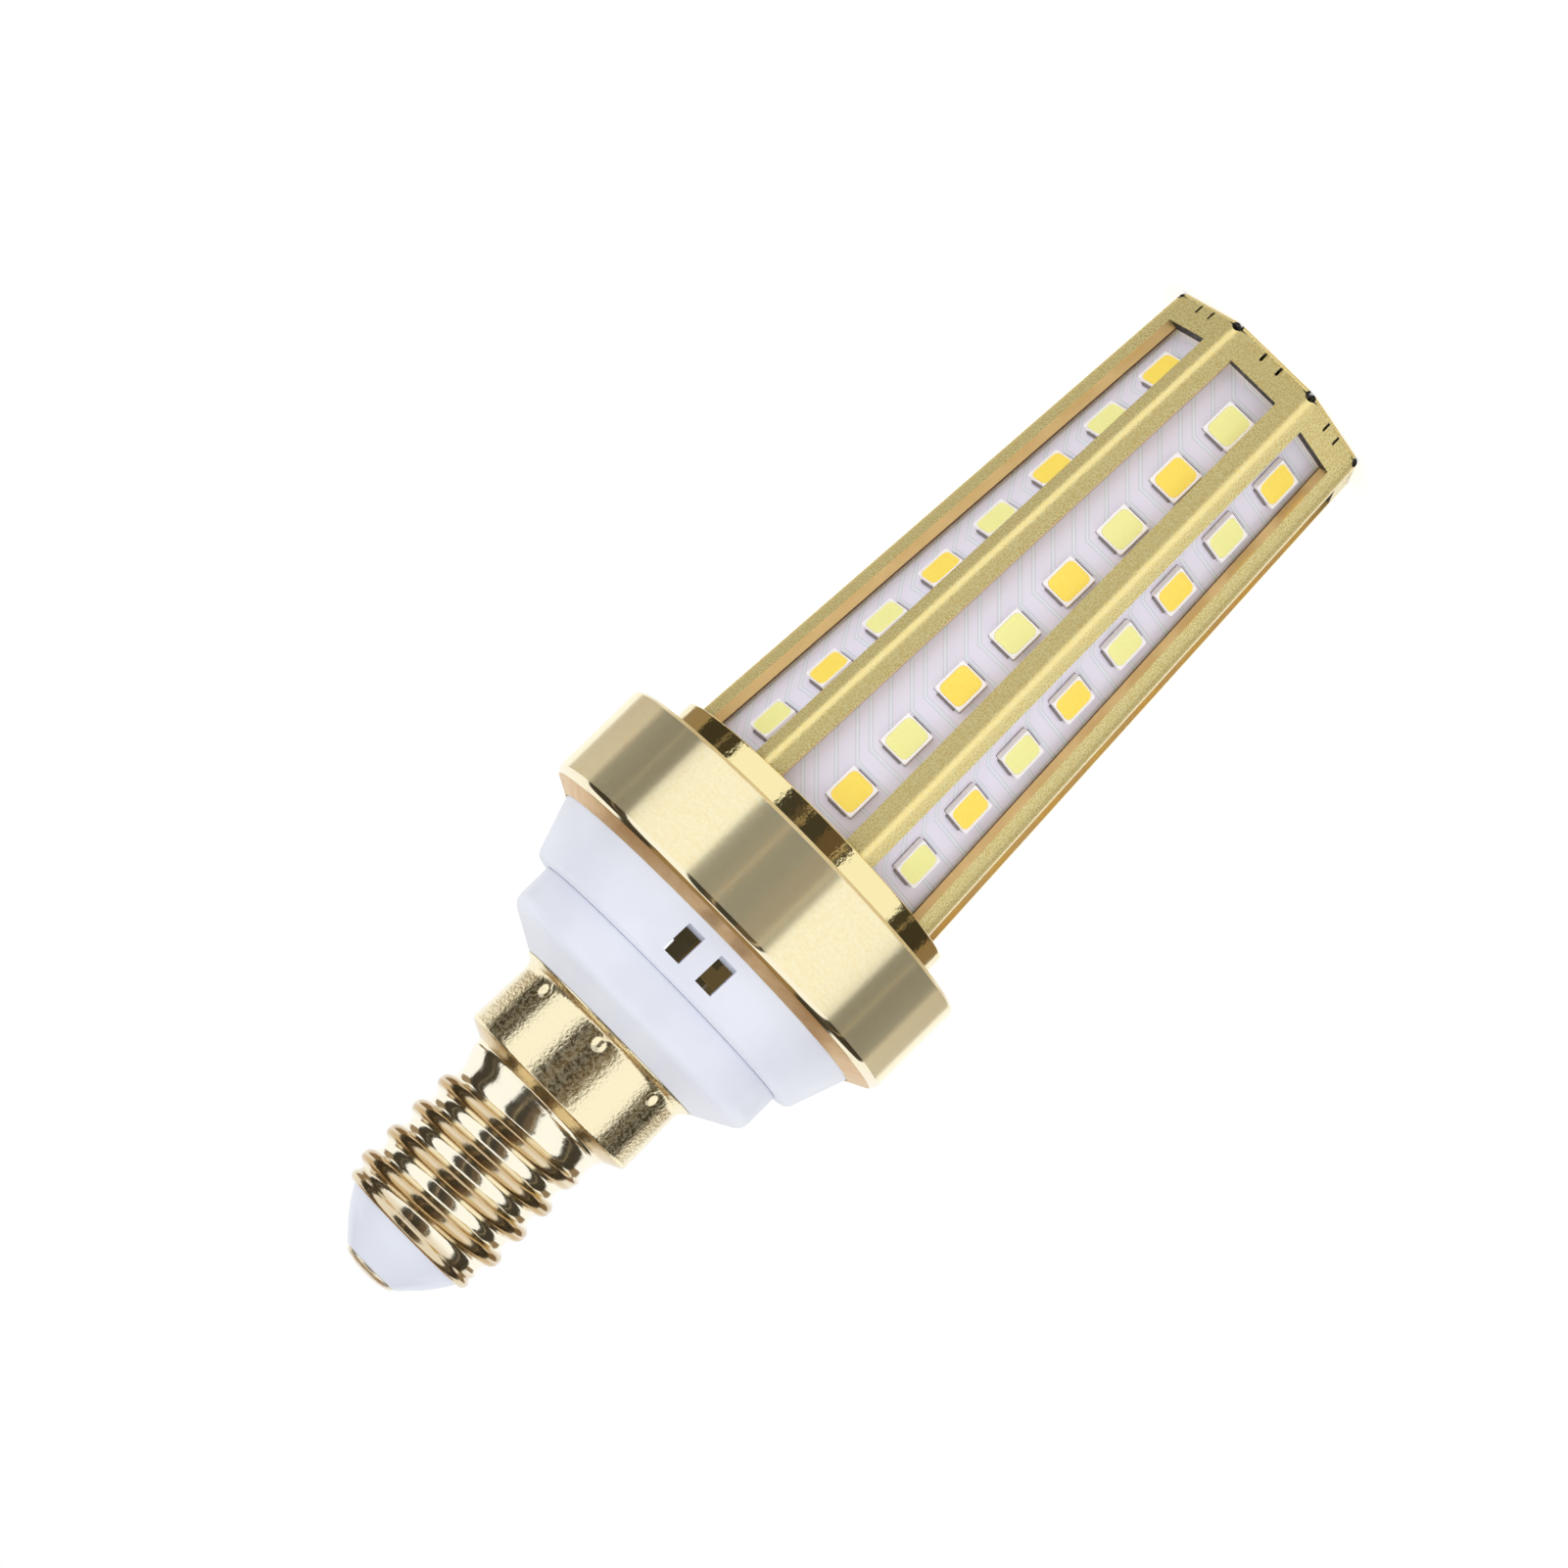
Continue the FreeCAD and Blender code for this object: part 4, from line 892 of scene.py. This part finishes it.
outer, uv = board_points(BOARD_DEPTH)
inner, _ = board_points(BOARD_DEPTH + BOARD_THICK)
keep = np.tile(np.arange(16) % 2 == 0, (len(BOARD_ROWS) - 1, 1))
faces = grid_faces(*BOARD_SHAPE, keep=keep)
size = outer.size // 3
index = np.arange(size).reshape(BOARD_SHAPE)
left, right = index[[0, -1], 0::2].ravel(), index[[0, -1], 1::2].ravel()
ends = np.stack([left, right, right + size, left + size], axis=1)
faces = np.concatenate([faces, faces[:, ::-1] + size, ends])
board = make_piece(
    "board_folded", np.concatenate([outer.reshape(-1, 3), inner.reshape(-1, 3)]), faces,
    [board_white], 20, uv=np.concatenate([uv, uv]),
)
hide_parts("led_board")

# %% [markdown]
# The packages are small and many, so each has only a few dozen faces: closed rings
# of twenty-four points, from the foot up over the edge and down into the well. All
# rings of a side are moved onto its slanting face in one sum.

# %% Light packages
TILT = math.atan2(FOOT_APOTHEM - HEAD_APOTHEM, LENGTH)
PLACES = ROW_START + ROW_PITCH * np.arange(8)
BODY_WIDTH, BODY_LENGTH, RING_POINTS = 2.8, 3.15, 24


def ring_of(width, length, corner):
    """A rectangle with round corners: six points on each of its four quarter arcs."""
    quarter = np.radians(np.array([0, 18, 36, 54, 72, 90]))
    angle = (quarter[None] + np.radians([0, 90, 180, 270])[:, None]).ravel()
    middle_x = np.repeat([1, -1, -1, 1], 6) * (width / 2 - corner)
    middle_y = np.repeat([1, 1, -1, -1], 6) * (length / 2 - corner)
    return np.stack([middle_x + corner * np.cos(angle), middle_y + corner * np.sin(angle)], axis=1)


def onto_face(face, local):
    """Points as across, down the face, out of it, moved to where that side lies."""
    azimuth = face * np.pi / 4
    across = np.array([math.cos(azimuth), math.sin(azimuth), 0])
    level = np.array([math.sin(azimuth), -math.cos(azimuth), 0])
    down = level * math.sin(TILT) + np.array([0, 0, math.cos(TILT)])
    out = level * math.cos(TILT) - np.array([0, 0, math.sin(TILT)])
    start = level * (HEAD_APOTHEM - BOARD_DEPTH)
    return start + local @ np.stack([across, down, out])


def rings_on_face(face, rings, places):
    """Copies of a stack of rings at the given places of one side's row."""
    flat = np.stack([
        np.concatenate([ring_of(width, length, corner), np.full((RING_POINTS, 1), out)], axis=1)
        for width, length, corner, out in rings
    ])
    shift = np.zeros((len(places), 1, 1, 3))
    shift[:, 0, 0, 0] = ROW_SHIFT[face]
    shift[:, 0, 0, 1] = places
    return onto_face(face, flat[None] + shift)


def ring_faces(copies, rows):
    """Side faces of each copy, and a many-sided face to close each of its two ends."""
    one = grid_faces(rows, RING_POINTS)
    start = np.arange(copies)[:, None] * rows * RING_POINTS
    faces = (one[None] + start[:, :, None]).reshape(-1, 4).tolist()
    ends = start + np.arange(RING_POINTS)[None]
    return faces + ends[:, ::-1].tolist() + (ends + (rows - 1) * RING_POINTS).tolist()


body_rings = [
    (2.74, 3.09, 0.1, 0.0), (BODY_WIDTH, BODY_LENGTH, 0.12, 0.06),
    (BODY_WIDTH, BODY_LENGTH, 0.12, 0.6), (2.72, 3.07, 0.12, 0.65),
    (2.44, 2.98, 0.55, 0.65), (2.3, 2.85, 0.5, 0.5),
]
for face in range(8):
    points = rings_on_face(face, body_rings, PLACES)
    row = make_piece(
        f"packages_{face + 1}", points, ring_faces(len(PLACES), len(body_rings)), [package_white],
        40,
    )
    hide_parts(f"led_row_{face + 1}")

# %% [markdown]
# The fillings lie a hair under the packages' rims and swell a little in the
# middle. Warm and cold take turns down a side and from side to side.

# %% Fillings
fill_rings = [
    (2.3, 2.85, 0.5, 0.5), (2.3, 2.85, 0.5, 0.585), (1.9, 2.4, 0.42, 0.605),
    (1.0, 1.4, 0.25, 0.615),
]
for name, node, material, wanted in (
    ("fillings_warm", "phosphor_warm", phosphor_warm, 0),
    ("fillings_cold", "phosphor_cold", phosphor_cold, 1),
):
    parts = [
        rings_on_face(face, fill_rings, PLACES[(7 - np.arange(8) + face) % 2 == wanted])
        for face in range(8)
    ]
    points = np.concatenate(parts)
    piece = make_piece(
        name, points, ring_faces(len(points), len(fill_rings)), [material], 40
    )
    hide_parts(node)

# %% [markdown]
# Each package is soldered at its two ends: low dark fillets, seen as short bars. Under each
# package lies a thin dark plate, a little wider than its body: a painted shade line along its
# foot.

# %% Soldered ends
bar_rings = [(1.9, 0.24, 0.05, 0.0), (1.9, 0.24, 0.05, 0.16), (1.84, 0.14, 0.04, 0.24)]
# Painted shade: a thin dark plate under each package, a little wider than its body.
shade_plate_rings = [(2.86, 3.2, 0.1, 0.0), (2.86, 3.2, 0.1, 0.035)]
bars = np.concatenate([
    rings_on_face(face, bar_rings, PLACES + side * (BODY_LENGTH / 2 + 0.08))
    for face in range(8) for side in (-1, 1)
])
shade_plates = np.concatenate([rings_on_face(face, shade_plate_rings, PLACES) for face in range(8)])
bar_faces = ring_faces(len(bars), len(bar_rings))
shade_plate_faces = ring_faces(len(shade_plates), len(shade_plate_rings))
count = bars.size // 3
shade_plate_faces = [[corner + count for corner in face] for face in shade_plate_faces]
ends = make_piece(
    "soldered_ends_and_shade_plates", np.concatenate([bars.reshape(-1, 3), shade_plates.reshape(-1, 3)]),
    bar_faces + shade_plate_faces, [solder_and_shade], 40,
)
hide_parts("led_terminals")

# %% [markdown]
# Inside, the driver's parts keep their solids and get plain finishes, each with a painted
# glow. They are hidden, apart from what shows dimly through the vent slots, which the glow
# lightens.

# %% Finishes of the inner parts
WIRE = ((96, 80, 52), 0.4)
INNER = {
    "end_plate": ((226, 224, 228), 0.5),
    "driver_board": ((92, 84, 52), 0.5),
    "electrolytic_capacitor": ((108, 94, 62), 0.35),
    "inductor": ((116, 98, 62), 0.45),
    "film_capacitor": ((118, 98, 60), 0.4),
    "bridge_rectifier": ((40, 38, 36), 0.5),
    "driver_chip": ((40, 40, 42), 0.5),
    "fuse_resistor": ((150, 142, 122), 0.6),
    "live_wire_board": WIRE,
    "live_wire_contact": WIRE,
    "neutral_wire": ((88, 76, 54), 0.4),
    "led_wire_plus": WIRE,
    "led_wire_minus": ((40, 40, 44), 0.4),
}
for node, (tone, roughness) in INNER.items():
    material, tree, shader = new_finish(f"{node}_finish", paint(*tone), 0.0, roughness)
    mottle = noise_on_object(tree, 900, 3.0)
    darker = tuple(v * 0.85 for v in tone)
    two_colours(tree, mottle, paint(*darker), paint(*tone), shader.inputs["Base Color"])
    relief(tree, shader, mottle, 0.1, 0.02)
    # Painted glow, though these parts are no lamps.
    painted_glow(shader, paint(*tone), 0.5)
    nodes[node].material_slots[0].material = material
print(len(INNER), "inner parts finished")

# %% [markdown]
# Gold plating shows mostly what stands round it, so the studio is a white room with
# a tall soft light on each side, and dark boards between them that the polished
# metal mirrors as bands. Only reflections see the boards.

# %% White room
world = bpy.data.worlds.new("white_room")
scene.world = world
world.use_nodes = True
tree = world.node_tree
background = tree.nodes["Background"]
path = tree.nodes.new("ShaderNodeLightPath")
seen = calculate(tree, "MAXIMUM", path.outputs["Is Camera Ray"], path.outputs["Is Glossy Ray"])
seen = calculate(tree, "MAXIMUM", seen, path.outputs["Is Transmission Ray"])
between(tree, seen, 0.81, 1.0, background.inputs["Strength"], 0.0, 1.0)
background.inputs["Color"].default_value = (1, 1, 1, 1)

CAMERA_TURN = 6.14


def studio_direction(turn):
    """Level direction at a turn from the camera's side, positive to the picture's right
    when the bulb's head points up."""
    angle = np.radians(turn + CAMERA_TURN)
    return np.stack([-np.sin(angle), -np.cos(angle), 0 * angle], axis=-1)


def soft_light(name, turn):
    """A flat soft light, 7 cm up, that faces the bulb; watts are pi * area * radiance."""
    width, height, distance, radiance = 0.44, 0.9, 0.45, 0.6
    lamp_data = bpy.data.lights.new(name, "AREA")
    lamp_data.shape = "RECTANGLE"
    lamp_data.size = width
    lamp_data.size_y = height
    lamp_data.energy = math.pi * width * height * radiance
    lamp = new_object(name, lamp_data)
    toward = Vector(studio_direction(turn).tolist())
    lamp.location = toward * distance + Vector((0, 0, 0.07))
    lamp.rotation_mode = "QUATERNION"
    lamp.rotation_quaternion = toward.to_track_quat("Z", "Y")
    lamp.visible_camera = False
    lamp.visible_glossy = False


soft_light("soft_light_left", -50)
soft_light("soft_light_right", 50)
print("white room and two soft lights")

# %% [markdown]
# The boards are upright strips on a wide circle. Each is given by where it starts
# and ends, in degrees from the camera's side, and by the shade it shows. The last two
# say how high and how low they reach too, in metres, and stop short of the cap.

# %% Boards for the reflections


def glowing_sheet(name, grid, shade):
    """A sheet from a grid of points, of one even shade, that only reflections see."""
    mesh = bpy.data.meshes.new(name)
    faces = grid_faces(*grid.shape[:2], around=False)
    mesh.from_pydata(grid.reshape(-1, 3).tolist(), [], faces.tolist())
    material = bpy.data.materials.new(name)
    material.use_nodes = True
    inner_tree = material.node_tree
    inner_tree.nodes.clear()
    glow = inner_tree.nodes.new("ShaderNodeEmission")
    glow.inputs["Color"].default_value = paint(*shade)
    result = inner_tree.nodes.new("ShaderNodeOutputMaterial")
    inner_tree.links.new(glow.outputs["Emission"], result.inputs["Surface"])
    mesh.materials.append(material)
    sheet = new_object(name, mesh)
    sheet.visible_camera = False
    sheet.visible_diffuse = False
    sheet.visible_shadow = False
    sheet.visible_transmission = False


def board_strip(name, start, end, shade, high=0.8, low=-0.36, radius=0.42):
    """An upright strip of a cylinder about the bulb's axis."""
    turn = np.linspace(start, end, max(2, int(abs(end - start) / 4) + 2))
    ring = studio_direction(turn) * radius
    glowing_sheet(name, np.stack([ring + [0, 0, low], ring + [0, 0, high]]), shade)


STRIPS = (
    (-29.5, -17.0, (66, 62, 56)),
    (-17.0, -11.5, (88, 77, 64)),
    (-11.5, -9.7, (176, 156, 128)),
    (-9.7, 6.0, (66, 62, 54)),
    (6.0, 19.4, (98, 82, 65)),
    (19.4, 21.3, (200, 182, 154)),
    (21.3, 25.5, (66, 62, 54)),
    (76.0, 88.5, (68, 62, 52)),
    (88.5, 91.0, (150, 134, 108)),
    (91.0, 118.0, (64, 58, 48)),
    (-88.0, -76.0, (68, 60, 48)),
    (-90.0, -88.0, (140, 126, 104)),
    (-114.0, -90.0, (64, 58, 48)),
    (118.0, 146.0, (142, 121, 94), 0.064, -0.15),
    (-146.0, -114.0, (152, 132, 106), 0.064, -0.15),
)
for number, (start, end, shade, *reach) in enumerate(STRIPS):
    board_strip(f"board_strip_{number}", start, end, shade, *reach)
print(len(STRIPS), "strips")

# %% [markdown]
# Two wide cards curve round the bulb behind its ends. The flanks of the thread that
# face the head mirror the tan card, and with the deeper gold painted on them they look
# deeper gold than the roots. The shoulder, the ring's bevel and the flanks that face
# the contact mirror the brown one.

# %% Warm cards past both ends


def curved_card(name, start, end, shade):
    """A sheet on a level cylinder about the cap: each row stands at one height angle,
    counted from the camera's side over the contact, and below it with a minus sign."""
    distance, half_width = 0.8, 0.6
    rise = np.radians(np.linspace(start, end, 15))[:, None]
    toward = studio_direction(0)
    aside = np.array([toward[1], -toward[0], 0])
    up, cap_middle = np.array([0, 0, 1]), np.array([0, 0, 0.09])
    middle = distance * (np.cos(rise) * toward + np.sin(rise) * up) + cap_middle
    grid = np.stack([middle - half_width * aside, middle + half_width * aside], axis=1)
    glowing_sheet(name, grid, shade)


curved_card("tan_card", -74, -140, (206, 178, 118))
curved_card("brown_card", 74, 142, (150, 122, 82))
print("two cards")

# %% [markdown]
# A white floor carries the bulb's soft shadow. For the camera it glows a little, so
# that away from the shadow it meets the white room unseen.

# %% Floor
floor_mesh = bpy.data.meshes.new("floor")
side = 4.0
floor_mesh.from_pydata(
    [(-side, -side, 0), (side, -side, 0), (side, side, 0), (-side, side, 0)], [], [(0, 1, 2, 3)]
)
floor_paint, tree, shader = new_finish("floor_paint", (0.9, 0.9, 0.9, 1), 0.0, 0.9)
path = tree.nodes.new("ShaderNodeLightPath")
shader.inputs["Emission Color"].default_value = (1, 1, 1, 1)
glow = calculate(tree, "MULTIPLY", path.outputs["Is Camera Ray"], 0.42)
tree.links.new(glow, shader.inputs["Emission Strength"])
shader.inputs["Specular IOR Level"].default_value = 0.0
floor_mesh.materials.append(floor_paint)
floor = new_object("floor", floor_mesh)
floor.visible_glossy = False
print("floor laid")
